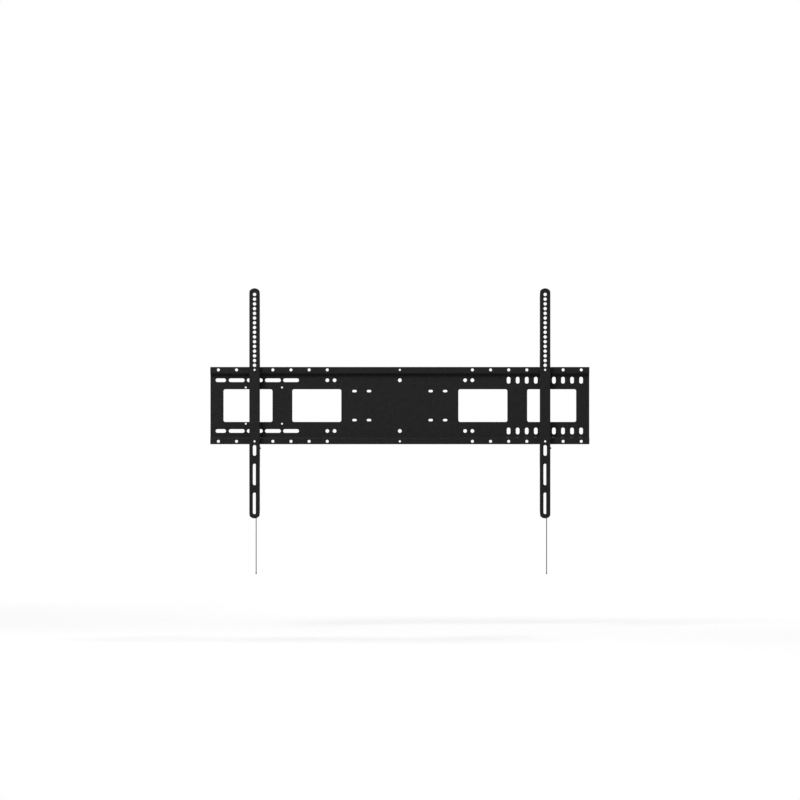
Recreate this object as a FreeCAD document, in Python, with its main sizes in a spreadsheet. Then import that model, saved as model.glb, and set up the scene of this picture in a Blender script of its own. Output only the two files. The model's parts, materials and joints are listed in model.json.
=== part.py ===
# Fixed wall mount for a large display.
# A folded wall plate carries two hook-on arms. Each arm has a sprung latch that a hanging cord pulls down.
# Millimetres. +X is right seen from the room, +Y goes into the wall, +Z is up.
# The origin is the middle of the plate's back face.
import FreeCAD, Part
import math
import os
from types import SimpleNamespace

import Sketcher

# Driving sizes
DRIVING = {
    # Sheet of the plate and the arms
    "gauge": 2.5,
    # Wall plate: a web on the wall, two shelves that stand out and two upright rails
    "plate_width": 1045.0,
    "plate_height": 213.0,
    "web_clear": 174.0,
    "rail_front": 18.0,
    "plate_bend": 2.0,
    "window_width": 135.0,
    "window_height": 90.0,
    "window_corner": 5.0,
    "inner_window": 229.0,
    "outer_window": 418.75,
    "bolt_row": 70.0,
    "bolt_width": 10.0,
    "long_slot": 43.5,
    "long_slot_first": 300.0,
    "long_slot_pitch": 50.0,
    "long_slot_count": 4,
    "end_slot": 28.5,
    "end_slot_centre": 493.75,
    "upright_slot": 18.5,
    "upright_slot_first": 300.0,
    "upright_slot_pitch": 25.0,
    "upright_slot_count": 9,
    "inner_bolt": 180.0,
    "outer_bolt": 200.0,
    "tie_slot": 12.0,
    "tie_slot_width": 6.5,
    "tie_slot_row": 40.0,
    "tie_slot_inner": 85.0,
    "tie_slot_outer": 125.0,
    "box_hole": 5.0,
    "box_hole_row": 50.0,
    "box_hole_inner": 325.0,
    "box_hole_outer": 425.0,
    "rail_hole": 8.0,
    "rail_hole_row": 98.5,
    "rail_hole_first": 200.0,
    "rail_hole_last": 500.0,
    "rail_hole_pitch": 50.0,
    "rail_hole_count": 7,
    "mid_rail_hole": 5.5,
    # Arms: a channel open to the wall
    "arm_spacing": 800.0,
    "arm_width": 29.0,
    "arm_front": 40.0,
    "arm_back": 5.0,
    "arm_top": 323.0,
    "arm_bottom": 310.5,
    "arm_bend": 1.5,
    "tongue_radius": 17.0,
    "tongue_side": 15.5,
    "flange_inset": 12.0,
    "flange_slope": 11.0,
    "flange_back": 20.0,
    "rail_gap": 0.4,
    "hook_slope_top": 152.0,
    "hook_top": 134.0,
    "hook_tip": 92.5,
    "foot_top": 109.5,
    "foot_bottom": 158.0,
    "foot_slope_bottom": 176.0,
    "edge_round": 3.0,
    "slope_round": 8.0,
    "screw_width": 9.0,
    "screw_first": 306.0,
    "screw_pitch": 13.0,
    "screw_count": 16,
    "lock_hole": 5.5,
    "lock_row": 98.5,
    "short_slot": 29.5,
    "short_slot_centre": 123.35,
    "screw_slot": 59.0,
    "screw_slot_upper": 189.5,
    "screw_slot_lower": 269.0,
    # Latch: a sliding plate beside the right flange of each arm
    "latch_gauge": 2.0,
    "latch_face": 6.7,
    "latch_line": 26.0,
    "latch_front": 33.0,
    "latch_neck": 20.0,
    "latch_heel": 18.0,
    "latch_head": 73.0,
    "nose_front": 14.9,
    "nose_back": 8.0,
    "nose_flat": 1.6,
    "nose_top": 99.5,
    "nose_ramp": 7.0,
    "nose_root": 120.0,
    "heel_top": 134.0,
    "heel_bottom": 150.0,
    "tab_shoulder": 153.0,
    "latch_bottom": 157.5,
    "tab_width": 10.0,
    "tab_end": 0.3,
    "tab_bend": 0.7,
    "cord_hole": 2.9,
    "cord_side": 4.2,
    "guide_slot_width": 3.8,
    "latch_travel": 10.0,
    "seat_width": 7.0,
    "seat_top": 125.0,
    "seat_bottom": 149.5,
    "seat_tongue": 2.4,
    "seat_tongue_length": 4.0,
    # Stepped guide pins with their push-on clips
    "pin_lower": 117.2,
    "pin_spacing": 27.2,
    "pin_width": 3.5,
    "pin_hole": 3.6,
    "pin_end": 4.7,
    "pin_head_width": 5.5,
    "pin_head": 2.6,
    "pin_step_width": 6.4,
    "slide_gap": 0.1,
    "clip_width": 7.8,
    "clip_gauge": 0.5,
    # Spring and the lug that it stands on
    "lug_top": 145.0,
    "lug_reach": 4.8,
    "lance_height": 7.2,
    "boss_width": 3.2,
    "boss_height": 1.4,
    "spring_width": 5.6,
    "spring_wire": 0.9,
    "spring_turns": 4.5,
    # Pull cord
    "cord_width": 2.4,
    "crimp_width": 3.6,
    "crimp_height": 5.0,
    "bead_height": 4.5,
    "cord_bottom": 464.0,
}


class Size:
    """A number of the size sheet, or a sum of such numbers, that keeps its formula."""

    def __init__(self, value, formula):
        self.value = float(value)
        self.formula = formula

    def __add__(self, other):
        other = as_size(other)
        return Size(self.value + other.value, f"({self.formula} + {other.formula})")

    def __sub__(self, other):
        other = as_size(other)
        return Size(self.value - other.value, f"({self.formula} - {other.formula})")

    def __mul__(self, other):
        other = as_size(other)
        return Size(self.value * other.value, f"({self.formula} * {other.formula})")

    def __truediv__(self, other):
        other = as_size(other)
        return Size(self.value / other.value, f"({self.formula} / {other.formula})")

    def __neg__(self):
        return Size(-self.value, f"(0 - {self.formula})")


def as_size(number):
    """Give a plain number the form of a Size."""
    if isinstance(number, Size):
        return number
    return Size(number, f"{float(number)}")


doc = FreeCAD.newDocument("wall_mount")
sheet = doc.addObject("Spreadsheet::Sheet", "Sizes")
for row, (alias, number) in enumerate(DRIVING.items(), start=1):
    sheet.set(f"A{row}", alias)
    sheet.set(f"B{row}", str(number))
    sheet.setAlias(f"B{row}", alias)
doc.recompute()
size = SimpleNamespace(**{alias: Size(number, f"Sizes.{alias}") for alias, number in DRIVING.items()})
ZERO = Size(0.0, "0")


# Sketch helpers


def origin_of(body, role):
    """Find a body's own base plane or axis."""
    return next(feature for feature in body.Origin.OriginFeatures if feature.Role == role)


def new_sketch(body, name, role, offset=None):
    """Start a sketch on a base plane of the body, moved along the plane's normal by an offset."""
    sketch = body.newObject("Sketcher::SketchObject", name)
    sketch.AttachmentSupport = [(origin_of(body, role), "")]
    sketch.MapMode = "FlatFace"
    if offset is not None:
        sketch.setExpression("AttachmentOffset.Base.z", offset.formula)
    return sketch


def pin_point(sketch, curve, end, x, y):
    """Dimension one point of a curve from the sketch's origin, both ways."""
    for kind, axis, place in (("DistanceX", -2, as_size(x)), ("DistanceY", -1, as_size(y))):
        if abs(place.value) < 1e-9:
            sketch.addConstraint(Sketcher.Constraint("PointOnObject", curve, end, axis))
            continue
        number = sketch.addConstraint(Sketcher.Constraint(kind, -1, 1, curve, end, place.value))
        sketch.setExpression(f"Constraints[{number}]", place.formula)


def flat_point(x, y):
    """Place a point in the sketch's plane."""
    return FreeCAD.Vector(as_size(x).value, as_size(y).value, 0)


def add_loop(sketch, corners):
    """Draw a closed outline of straight lines through the corners."""
    ends = corners[1:] + corners[:1]
    lines = [
        sketch.addGeometry(Part.LineSegment(flat_point(*start), flat_point(*end)), False)
        for start, end in zip(corners, ends)
    ]
    for line, following in zip(lines, lines[1:] + lines[:1]):
        sketch.addConstraint(Sketcher.Constraint("Coincident", line, 2, following, 1))
    for line, corner in zip(lines, corners):
        pin_point(sketch, line, 1, *corner)


def add_box(sketch, left, right, bottom, top):
    """Draw a rectangle between its four sides."""
    add_loop(sketch, [(left, bottom), (right, bottom), (right, top), (left, top)])


def add_circle(sketch, x, y, width):
    """Draw a circle of the given diameter."""
    shape = Part.Circle(flat_point(x, y), FreeCAD.Vector(0, 0, 1), width.value / 2)
    circle = sketch.addGeometry(shape, False)
    pin_point(sketch, circle, 3, x, y)
    number = sketch.addConstraint(Sketcher.Constraint("Diameter", circle, width.value))
    sketch.setExpression(f"Constraints[{number}]", width.formula)


def add_slot(sketch, x, y, length, width, upright=False):
    """Draw a round-ended slot about its middle, lying along the sketch's X or upright along its Y."""
    x, y = as_size(x), as_size(y)
    reach = (length - width) / 2
    radius = width.value / 2
    turn = 90.0 if upright else 0.0
    first = (x, y - reach) if upright else (x - reach, y)
    last = (x, y + reach) if upright else (x + reach, y)
    side = FreeCAD.Vector(-radius, 0, 0) if upright else FreeCAD.Vector(0, radius, 0)
    start, end = flat_point(*first), flat_point(*last)
    normal = FreeCAD.Vector(0, 0, 1)

    def half_round(centre, opening):
        angles = [math.radians(opening + turn + swing) for swing in (0, 180)]
        return Part.ArcOfCircle(Part.Circle(centre, normal, radius), *angles)

    first_arc = sketch.addGeometry(half_round(start, 90.0), False)
    last_arc = sketch.addGeometry(half_round(end, -90.0), False)
    near = sketch.addGeometry(Part.LineSegment(start + side, end + side), False)
    far = sketch.addGeometry(Part.LineSegment(start - side, end - side), False)
    for line, line_end, arc, arc_end in (
        (near, 1, first_arc, 1),
        (far, 1, first_arc, 2),
        (far, 2, last_arc, 1),
        (near, 2, last_arc, 2),
    ):
        sketch.addConstraint(Sketcher.Constraint("Tangent", line, line_end, arc, arc_end))
    pin_point(sketch, first_arc, 3, *first)
    pin_point(sketch, last_arc, 3, *last)
    sketch.addConstraint(Sketcher.Constraint("Equal", first_arc, last_arc))
    number = sketch.addConstraint(Sketcher.Constraint("Radius", first_arc, radius))
    sketch.setExpression(f"Constraints[{number}]", (width / 2).formula)


def add_cap(sketch, tip, radius, side, way):
    """Draw the waste beyond a round end whose tip is on the sketch's Y axis; way is +1 up or -1 down."""
    middle = tip - radius * way
    over = tip + way * 2.0
    drop = (radius.value**2 - side.value**2) ** 0.5
    edge = middle.value + way * drop
    left, right, outer = -side.value, side.value, over.value
    lines = [
        ((left, edge), (left, outer)),
        ((left, outer), (right, outer)),
        ((right, outer), (right, edge)),
    ]
    lines = [sketch.addGeometry(Part.LineSegment(flat_point(*a), flat_point(*b)), False) for a, b in lines]
    crown = Part.Arc(flat_point(left, edge), flat_point(0, tip), flat_point(right, edge))
    arc = sketch.addGeometry(crown, False)
    ends = {point: sketch.getPoint(arc, point).x for point in (1, 2)}
    left_end = min(ends, key=ends.get)
    right_end = max(ends, key=ends.get)
    sketch.addConstraint(Sketcher.Constraint("Coincident", lines[0], 1, arc, left_end))
    sketch.addConstraint(Sketcher.Constraint("Coincident", lines[0], 2, lines[1], 1))
    sketch.addConstraint(Sketcher.Constraint("Coincident", lines[1], 2, lines[2], 1))
    sketch.addConstraint(Sketcher.Constraint("Coincident", lines[2], 2, arc, right_end))
    sketch.addConstraint(Sketcher.Constraint("Vertical", lines[0]))
    sketch.addConstraint(Sketcher.Constraint("Vertical", lines[2]))
    pin_point(sketch, lines[1], 1, -side, over)
    pin_point(sketch, lines[1], 2, side, over)
    pin_point(sketch, arc, 3, 0, middle)
    number = sketch.addConstraint(Sketcher.Constraint("Radius", arc, radius.value))
    sketch.setExpression(f"Constraints[{number}]", radius.formula)


# Feature helpers


def finish_feature(body, feature, sketch=None):
    """Make a feature the body's tip and recompute, so that the next one can read it."""
    if sketch is not None:
        sketch.Visibility = False
    body.Tip = feature
    doc.recompute()
    return feature


def add_pad(body, sketch, length, symmetric=False):
    """Raise a sketch by a length along its normal, or half to each side."""
    pad = body.newObject("PartDesign::Pad", f"{sketch.Name}_pad")
    pad.Profile = sketch
    pad.setExpression("Length", length.formula)
    pad.SideType = "Symmetric" if symmetric else "One side"
    return finish_feature(body, pad, sketch)


def add_cut(body, sketch, one_way=False):
    """Cut a sketch through the whole body, both ways or only along its normal."""
    doc.recompute()
    before = body.Shape.Volume
    pocket = body.newObject("PartDesign::Pocket", f"{sketch.Name}_cut")
    pocket.Profile = sketch
    pocket.Type = "ThroughAll"
    if one_way:
        pocket.Reversed = True
    else:
        pocket.SideType = "Symmetric"
    finish_feature(body, pocket, sketch)
    if body.Shape.Volume > before - 0.1:
        raise RuntimeError(f"{pocket.Name} removed nothing")
    return pocket


def add_row(body, feature, role, length, count, reverse=False):
    """Repeat a feature in a straight row along a base axis."""
    pattern = body.newObject("PartDesign::LinearPattern", f"{feature.Name}_row")
    pattern.Originals = [feature]
    pattern.Direction = (origin_of(body, role), [""])
    pattern.Reversed = reverse
    pattern.setExpression("Length", length.formula)
    pattern.setExpression("Occurrences", count.formula)
    return finish_feature(body, pattern)


def add_round(body, name, radius, wanted):
    """Round the edges that the test accepts."""
    base = body.Tip
    edges = [f"Edge{i}" for i, edge in enumerate(base.Shape.Edges, start=1) if wanted(edge)]
    if not edges:
        raise RuntimeError(f"{name} found no edges")
    fillet = body.newObject("PartDesign::Fillet", name)
    fillet.Base = (base, edges)
    fillet.setExpression("Radius", radius.formula)
    return finish_feature(body, fillet)


def lies_along(edge, axis, places, longer_than=0.0):
    """Tell whether a straight edge runs along an axis through one of the places in the other two axes."""
    if len(edge.Vertexes) != 2 or edge.Length <= longer_than:
        return False
    run = edge.Vertexes[1].Point - edge.Vertexes[0].Point
    if abs(abs(run[axis]) - edge.Length) > 1e-6:
        return False
    others = [k for k in range(3) if k != axis]
    point = edge.Vertexes[0].Point
    return any(all(abs(point[k] - place[n]) < 1e-4 for n, k in enumerate(others)) for place in places)


def values(places):
    """Turn pairs of sizes into pairs of numbers."""
    return [(as_size(a).value, as_size(b).value) for a, b in places]


def new_body(label, x=ZERO, y=ZERO, z=ZERO, several=False):
    """Start a body at a place; several lets it hold more than one solid."""
    body = doc.addObject("PartDesign::Body", label)
    body.Label = label
    body.AllowCompound = several
    for axis, place in (("x", x), ("y", y), ("z", z)):
        body.setExpression(f"Placement.Base.{axis}", place.formula)
    return body


def turn_profile(body, name, corners):
    """Turn an outline about the body's X axis."""
    sketch = new_sketch(body, name, "XZ_Plane")
    add_loop(sketch, corners)
    turned = body.newObject("PartDesign::Revolution", f"{name}_turned")
    turned.Profile = sketch
    turned.ReferenceAxis = (sketch, ["H_Axis"])
    turned.Angle = 360.0
    return finish_feature(body, turned, sketch)


# Wall plate


def make_wall_plate():
    """Fold the plate, then punch its windows, bolt slots and rail holes."""
    body = new_body("wall_plate")
    shelf_in = size.web_clear / 2
    shelf_out = shelf_in + size.gauge
    top = size.plate_height / 2
    rail_back = size.rail_front - size.gauge
    half = [
        (ZERO, shelf_out),
        (-rail_back, shelf_out),
        (-rail_back, top),
        (-size.rail_front, top),
        (-size.rail_front, shelf_in),
        (-size.gauge, shelf_in),
    ]
    fold = new_sketch(body, "plate_fold", "YZ_Plane")
    add_loop(fold, half + [(y, -z) for y, z in reversed(half)])
    add_pad(body, fold, size.plate_width, symmetric=True)

    outer = values([(y, z * way) for y, z in (half[0], half[4]) for way in (1, -1)])
    inner = values([(y, z * way) for y, z in (half[1], half[5]) for way in (1, -1)])
    add_round(body, "plate_outer_bends", size.plate_bend + size.gauge, lambda e: lies_along(e, 0, outer))
    add_round(body, "plate_inner_bends", size.plate_bend, lambda e: lies_along(e, 0, inner))

    middles = [middle * way for middle in (size.inner_window, size.outer_window) for way in (1, -1)]
    half_wide = size.window_width / 2
    half_high = size.window_height / 2
    windows = new_sketch(body, "plate_windows", "XZ_Plane")
    for middle in middles:
        add_box(windows, middle - half_wide, middle + half_wide, -half_high, half_high)
    add_cut(body, windows)
    corners = [(middle + half_wide * way, -size.gauge) for middle in middles for way in (1, -1)]
    corner_x = [place.value for place, _ in corners]

    def window_corner(edge):
        on_side = any(abs(edge.Vertexes[0].X - x) < 1e-4 for x in corner_x)
        on_end = abs(abs(edge.Vertexes[0].Z) - half_high.value) < 1e-4
        return on_side and on_end and abs(edge.Length - size.gauge.value) < 1e-6

    add_round(body, "window_corners", size.window_corner, window_corner)

    rows = (size.bolt_row, -size.bolt_row)
    slots = new_sketch(body, "long_slots", "XZ_Plane")
    for row in rows:
        add_slot(slots, -size.long_slot_first, row, size.long_slot, size.bolt_width)
    run = size.long_slot_pitch * (size.long_slot_count - 1)
    add_row(body, add_cut(body, slots), "X_Axis", run, size.long_slot_count, reverse=True)

    ends = new_sketch(body, "end_slots", "XZ_Plane")
    for row in rows:
        add_slot(ends, -size.end_slot_centre, row, size.end_slot, size.bolt_width)
    add_cut(body, ends)

    uprights = new_sketch(body, "upright_slots", "XZ_Plane")
    for row in rows:
        add_slot(uprights, size.upright_slot_first, row, size.upright_slot, size.bolt_width, upright=True)
    run = size.upright_slot_pitch * (size.upright_slot_count - 1)
    add_row(body, add_cut(body, uprights), "X_Axis", run, size.upright_slot_count)

    bolts = new_sketch(body, "bolt_holes", "XZ_Plane")
    for row in rows:
        for x in (ZERO, size.inner_bolt, -size.inner_bolt, size.outer_bolt, -size.outer_bolt):
            add_circle(bolts, x, row, size.bolt_width)
    add_cut(body, bolts)

    ties = new_sketch(body, "tie_slots", "XZ_Plane")
    for row in (size.tie_slot_row, -size.tie_slot_row):
        for x in (size.tie_slot_inner, size.tie_slot_outer):
            for way in (1, -1):
                add_slot(ties, x * way, row, size.tie_slot, size.tie_slot_width)
    add_cut(body, ties)

    boxes = new_sketch(body, "box_holes", "XZ_Plane")
    for row in (size.box_hole_row, -size.box_hole_row):
        for x in (size.box_hole_inner, size.box_hole_outer):
            add_circle(boxes, -x, row, size.box_hole)
    add_cut(body, boxes)

    rails = new_sketch(body, "rail_holes", "XZ_Plane")
    for row in (size.rail_hole_row, -size.rail_hole_row):
        for x in (size.rail_hole_first, -size.rail_hole_last):
            add_circle(rails, x, row, size.rail_hole)
    run = size.rail_hole_pitch * (size.rail_hole_count - 1)
    add_row(body, add_cut(body, rails), "X_Axis", run, size.rail_hole_count)

    mids = new_sketch(body, "mid_rail_holes", "XZ_Plane")
    for row in (size.rail_hole_row, -size.rail_hole_row):
        add_circle(mids, ZERO, row, size.mid_rail_hole)
    add_cut(body, mids)
    return body


# Arms


def make_arm(label, x):
    """Fold the channel, trim its flanges to the hook and the foot, and punch its holes."""
    body = new_body(label, x)
    half = size.arm_width / 2
    inside = half - size.gauge
    web_back = size.arm_front - size.gauge
    top = size.arm_top
    bottom = -size.arm_bottom
    channel = new_sketch(body, f"{label}_channel", "XY_Plane", bottom)
    right = [(half, -size.arm_front), (half, -size.arm_back), (inside, -size.arm_back), (inside, -web_back)]
    add_loop(channel, right + [(-px, py) for px, py in reversed(right)])
    add_pad(body, channel, size.arm_top + size.arm_bottom)
    outer = values([(half * way, -size.arm_front) for way in (1, -1)])
    inner = values([(inside * way, -web_back) for way in (1, -1)])
    add_round(body, f"{label}_outer_bends", size.arm_bend + size.gauge, lambda e: lies_along(e, 2, outer))
    add_round(body, f"{label}_inner_bends", size.arm_bend, lambda e: lies_along(e, 2, inner))

    past = size.gauge * 2
    rail_top = size.plate_height / 2
    grip_back = size.rail_front - size.gauge - size.rail_gap
    grip_front = size.rail_front + size.rail_gap
    upper = [
        (-web_back, top + past),
        (-web_back, top - size.flange_inset),
        (-size.flange_back, top - size.flange_inset - size.flange_slope),
        (-size.flange_back, size.hook_slope_top),
        (-size.arm_back, size.hook_top),
        (past, size.hook_top),
        (past, top + past),
    ]
    middle = [
        (past, size.hook_tip),
        (-grip_back, size.hook_tip),
        (-grip_back, rail_top),
        (-grip_front, rail_top),
        (-grip_front, -size.foot_top),
        (past, -size.foot_top),
    ]
    lower = [
        (past, -size.foot_bottom),
        (-size.arm_back, -size.foot_bottom),
        (-size.flange_back, -size.foot_slope_bottom),
        (-size.flange_back, bottom + size.flange_inset + size.flange_slope),
        (-web_back, bottom + size.flange_inset),
        (-web_back, bottom - past),
        (past, bottom - past),
    ]
    trim = new_sketch(body, f"{label}_trim", "YZ_Plane")
    for region in (upper, middle, lower):
        add_loop(trim, region)
    add_cut(body, trim)
    corners = values([upper[2], upper[4], middle[1], lower[1], lower[3], (-size.arm_back, -size.foot_top)])
    corners += values([(-size.arm_back, size.hook_tip)])
    knees = values([upper[3], lower[2]])
    add_round(body, f"{label}_corners", size.edge_round, lambda e: lies_along(e, 0, corners))
    add_round(body, f"{label}_knees", size.slope_round, lambda e: lies_along(e, 0, knees))

    caps = new_sketch(body, f"{label}_caps", "XZ_Plane")
    add_cap(caps, top, size.tongue_radius, size.tongue_side, 1)
    add_cap(caps, bottom, size.tongue_radius, size.tongue_side, -1)
    add_cut(body, caps)

    screws = new_sketch(body, f"{label}_screws", "XZ_Plane")
    add_circle(screws, ZERO, size.screw_first, size.screw_width)
    run = size.screw_pitch * (size.screw_count - 1)
    add_row(body, add_cut(body, screws), "Z_Axis", run, size.screw_count, reverse=True)

    slots = new_sketch(body, f"{label}_slots", "XZ_Plane")
    add_slot(slots, ZERO, -size.short_slot_centre, size.short_slot, size.screw_width, upright=True)
    for centre in (size.screw_slot_upper, size.screw_slot_lower):
        add_slot(slots, ZERO, -centre, size.screw_slot, size.screw_width, upright=True)
    for row in (size.lock_row, -size.lock_row):
        add_circle(slots, ZERO, row, size.lock_hole)
    add_cut(body, slots)

    line = -size.latch_line
    seat = size.seat_width / 2
    lug_bottom = -size.lug_top - size.gauge
    side = new_sketch(body, f"{label}_side", "YZ_Plane")
    for drop in (ZERO, size.pin_spacing):
        add_circle(side, line, drop - size.pin_lower, size.pin_hole)
    add_box(side, line - seat, line + seat, lug_bottom - size.lance_height, lug_bottom)
    add_cut(body, side, one_way=True)

    lug = new_sketch(body, f"{label}_lug", "XY_Plane", lug_bottom)
    add_box(lug, size.lug_reach, half - size.gauge / 2, line - seat, line + seat)
    add_pad(body, lug, size.gauge)
    boss = new_sketch(body, f"{label}_boss", "XY_Plane", -size.lug_top)
    add_circle(boss, size.latch_face + size.latch_gauge / 2, line, size.boss_width)
    add_pad(body, boss, size.boss_height)
    return body


# Latches


def make_latch(label, x):
    """Cut the sliding plate with its nose, guide slots and spring seat, and fold its cord tab."""
    body = new_body(label, x)
    line = -size.latch_line
    tab = size.tab_width / 2
    bottom = -size.latch_bottom
    outline = [
        (-size.latch_front, -size.latch_head),
        (-size.latch_neck, -size.latch_head),
        (-size.latch_neck, -size.foot_top),
        (-size.nose_front, -size.foot_top),
        (-size.nose_front, -size.nose_top),
        (size.nose_flat - size.nose_front, -size.nose_top),
        (-size.nose_back, -size.nose_top - size.nose_ramp),
        (-size.nose_back, -size.nose_root),
        (-size.latch_heel, -size.heel_top),
        (-size.latch_heel, -size.heel_bottom),
        (line + tab, -size.tab_shoulder),
        (line + tab, bottom),
        (line - tab, bottom),
        (line - tab, -size.tab_shoulder),
        (-size.latch_front, -size.heel_bottom),
    ]
    blank = new_sketch(body, f"{label}_blank", "YZ_Plane", size.latch_face)
    add_loop(blank, outline)
    add_pad(body, blank, size.latch_gauge)

    back = size.latch_face + size.latch_gauge
    fold = new_sketch(body, f"{label}_tab", "XY_Plane", bottom)
    add_box(fold, size.tab_end, back, line - tab, line + tab)
    add_pad(body, fold, size.latch_gauge)
    outside = values([(back, bottom)])
    inside = values([(size.latch_face, bottom + size.latch_gauge)])
    outer_bend = size.tab_bend + size.latch_gauge
    add_round(body, f"{label}_outer_bend", outer_bend, lambda e: lies_along(e, 1, outside))
    add_round(body, f"{label}_inner_bend", size.tab_bend, lambda e: lies_along(e, 1, inside))

    seat = size.seat_width / 2
    tongue = size.seat_tongue / 2
    seat_top = -size.seat_top
    tongue_tip = seat_top - size.seat_tongue_length
    window = [
        (line - seat, -size.seat_bottom),
        (line + seat, -size.seat_bottom),
        (line + seat, seat_top),
        (line + tongue, seat_top),
        (line + tongue, tongue_tip),
        (line - tongue, tongue_tip),
        (line - tongue, seat_top),
        (line - seat, seat_top),
    ]
    openings = new_sketch(body, f"{label}_openings", "YZ_Plane")
    add_loop(openings, window)
    length = size.latch_travel + size.guide_slot_width
    for rise in (ZERO, size.pin_spacing):
        middle = rise - size.pin_lower + size.latch_travel / 2
        add_slot(openings, line, middle, length, size.guide_slot_width, upright=True)
    add_cut(body, openings)

    hole = new_sketch(body, f"{label}_cord_hole", "XY_Plane")
    add_circle(hole, size.cord_side, line, size.cord_hole)
    add_cut(body, hole)
    return body


# Small pieces of each latch


def make_pin_set(label, x, corners):
    """Turn one piece of the lower guide pin and repeat it at the upper one."""
    body = new_body(label, x, -size.latch_line, -size.pin_lower, several=True)
    turned = turn_profile(body, f"{label}_outline", corners)
    add_row(body, turned, "Z_Axis", size.pin_spacing, as_size(2))
    return body


def make_pins(label, x):
    """Make the stepped pins that are riveted in the right flange and hold the latch plate off it."""
    radius = size.pin_width / 2
    face = size.arm_width / 2
    inside = face - size.gauge
    head = size.pin_head_width / 2
    step = size.pin_step_width / 2
    step_start = size.latch_face + size.latch_gauge + size.slide_gap
    tip = face + size.pin_head
    return make_pin_set(label, x, [
        (size.pin_end, ZERO),
        (size.pin_end, radius),
        (step_start, radius),
        (step_start, step),
        (inside, step),
        (inside, radius),
        (face, radius),
        (face, head),
        (tip, head),
        (tip, ZERO),
    ])


def make_clips(label, x):
    """Make the ring clips pushed on the pins' inner ends."""
    bore = size.pin_width / 2
    rim = size.clip_width / 2
    outer = size.latch_face - size.slide_gap
    inner = outer - size.clip_gauge
    return make_pin_set(label, x, [(inner, bore), (outer, bore), (outer, rim), (inner, rim)])


def make_spring(label, x):
    """Wind the spring between the arm's lug and the top of the latch's spring seat."""
    middle = size.latch_face + size.latch_gauge / 2
    body = new_body(label, x + middle, -size.latch_line, -size.lug_top)
    outer = size.spring_width / 2
    wire = size.spring_wire
    sketch = new_sketch(body, f"{label}_wire", "XZ_Plane")
    add_box(sketch, outer - wire, outer, ZERO, wire)
    coil = body.newObject("PartDesign::AdditiveHelix", f"{label}_coil")
    coil.Profile = sketch
    coil.ReferenceAxis = (sketch, ["V_Axis"])
    coil.Mode = "height-turns-angle"
    coil.setExpression("Height", (size.lug_top - size.seat_top - wire).formula)
    coil.setExpression("Turns", size.spring_turns.formula)
    finish_feature(body, coil, sketch)
    return body


def make_rod(label, x, foot, width, height):
    """Make a plain upright rod on the cord's line, standing on the height foot."""
    rod = doc.addObject("Part::Cylinder", label)
    rod.Label = label
    rod.setExpression("Radius", (width / 2).formula)
    rod.setExpression("Height", height.formula)
    rod.setExpression("Placement.Base.x", (x + size.cord_side).formula)
    rod.setExpression("Placement.Base.y", (-size.latch_line).formula)
    rod.setExpression("Placement.Base.z", foot.formula)
    return rod


# The whole mount
tab_top = size.latch_gauge - size.latch_bottom
bead_top = size.bead_height - size.cord_bottom
nodes = [make_wall_plate()]
for side, way in (("left", -1), ("right", 1)):
    arm_x = size.arm_spacing * way / 2
    nodes += [
        make_arm(f"{side}_arm", arm_x),
        make_latch(f"{side}_latch", arm_x),
        make_pins(f"{side}_guide_pins", arm_x),
        make_clips(f"{side}_pin_clips", arm_x),
        make_spring(f"{side}_latch_spring", arm_x),
        make_rod(f"{side}_pull_cord", arm_x, bead_top, size.cord_width, tab_top - bead_top),
        make_rod(f"{side}_cord_stop", arm_x, tab_top, size.crimp_width, size.crimp_height),
        make_rod(f"{side}_cord_bead", arm_x, -size.cord_bottom, size.crimp_width, size.bead_height),
    ]
doc.recompute()

for item in doc.Objects:
    if "Invalid" in item.State or "Error" in item.State:
        raise RuntimeError(f"{item.Label} did not build: {item.State}")

os.makedirs("parts", exist_ok=True)
for node in nodes:
    if node.Shape.isNull() or not node.Shape.isValid():
        raise RuntimeError(f"{node.Label} has no sound shape")
    node.Shape.exportStep(f"parts/{node.Label}.step")
    print(f"{node.Label}: {len(node.Shape.Solids)} solid, {node.Shape.Volume:.0f} cubic mm")
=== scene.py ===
"""Studio scene of a fixed wall mount for a large display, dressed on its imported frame.

Sheet pieces are flat blanks with rounded rims, folded along a path. Turned pieces are outlines spun
about an axis. Springs and cords are tubes along a line. Sizes are in millimetres until a surface is
written as a mesh in metres, and main sizes and places come from the boxes of the frame's nodes.
"""
import json
import logging
import math
from dataclasses import dataclass, field
from enum import Enum
from functools import cached_property
from typing import Sequence

import bpy
import numpy as np
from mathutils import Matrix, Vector
from mathutils.geometry import delaunay_2d_cdt


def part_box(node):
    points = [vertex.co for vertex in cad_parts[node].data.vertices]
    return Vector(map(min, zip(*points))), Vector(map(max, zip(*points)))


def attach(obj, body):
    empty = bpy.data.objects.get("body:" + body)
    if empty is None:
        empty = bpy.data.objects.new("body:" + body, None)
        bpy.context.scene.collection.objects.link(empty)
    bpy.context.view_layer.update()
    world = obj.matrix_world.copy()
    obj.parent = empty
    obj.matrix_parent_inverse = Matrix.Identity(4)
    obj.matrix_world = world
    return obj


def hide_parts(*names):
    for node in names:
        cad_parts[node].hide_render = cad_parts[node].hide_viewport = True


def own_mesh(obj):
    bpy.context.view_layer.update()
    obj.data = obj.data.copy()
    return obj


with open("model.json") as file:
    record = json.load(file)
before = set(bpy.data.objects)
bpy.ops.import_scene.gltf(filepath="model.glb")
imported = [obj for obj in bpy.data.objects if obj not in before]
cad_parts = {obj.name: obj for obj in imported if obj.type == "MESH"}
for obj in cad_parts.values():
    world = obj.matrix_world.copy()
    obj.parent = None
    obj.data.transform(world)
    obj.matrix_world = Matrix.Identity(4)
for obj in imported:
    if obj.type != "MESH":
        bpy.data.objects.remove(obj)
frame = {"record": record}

LOG = logging.getLogger("wall_mount")
MM = 0.001
TINY = 1e-9
NEAR = 0.05  # Millimetres within which a crossing is left to the point beside it
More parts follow.
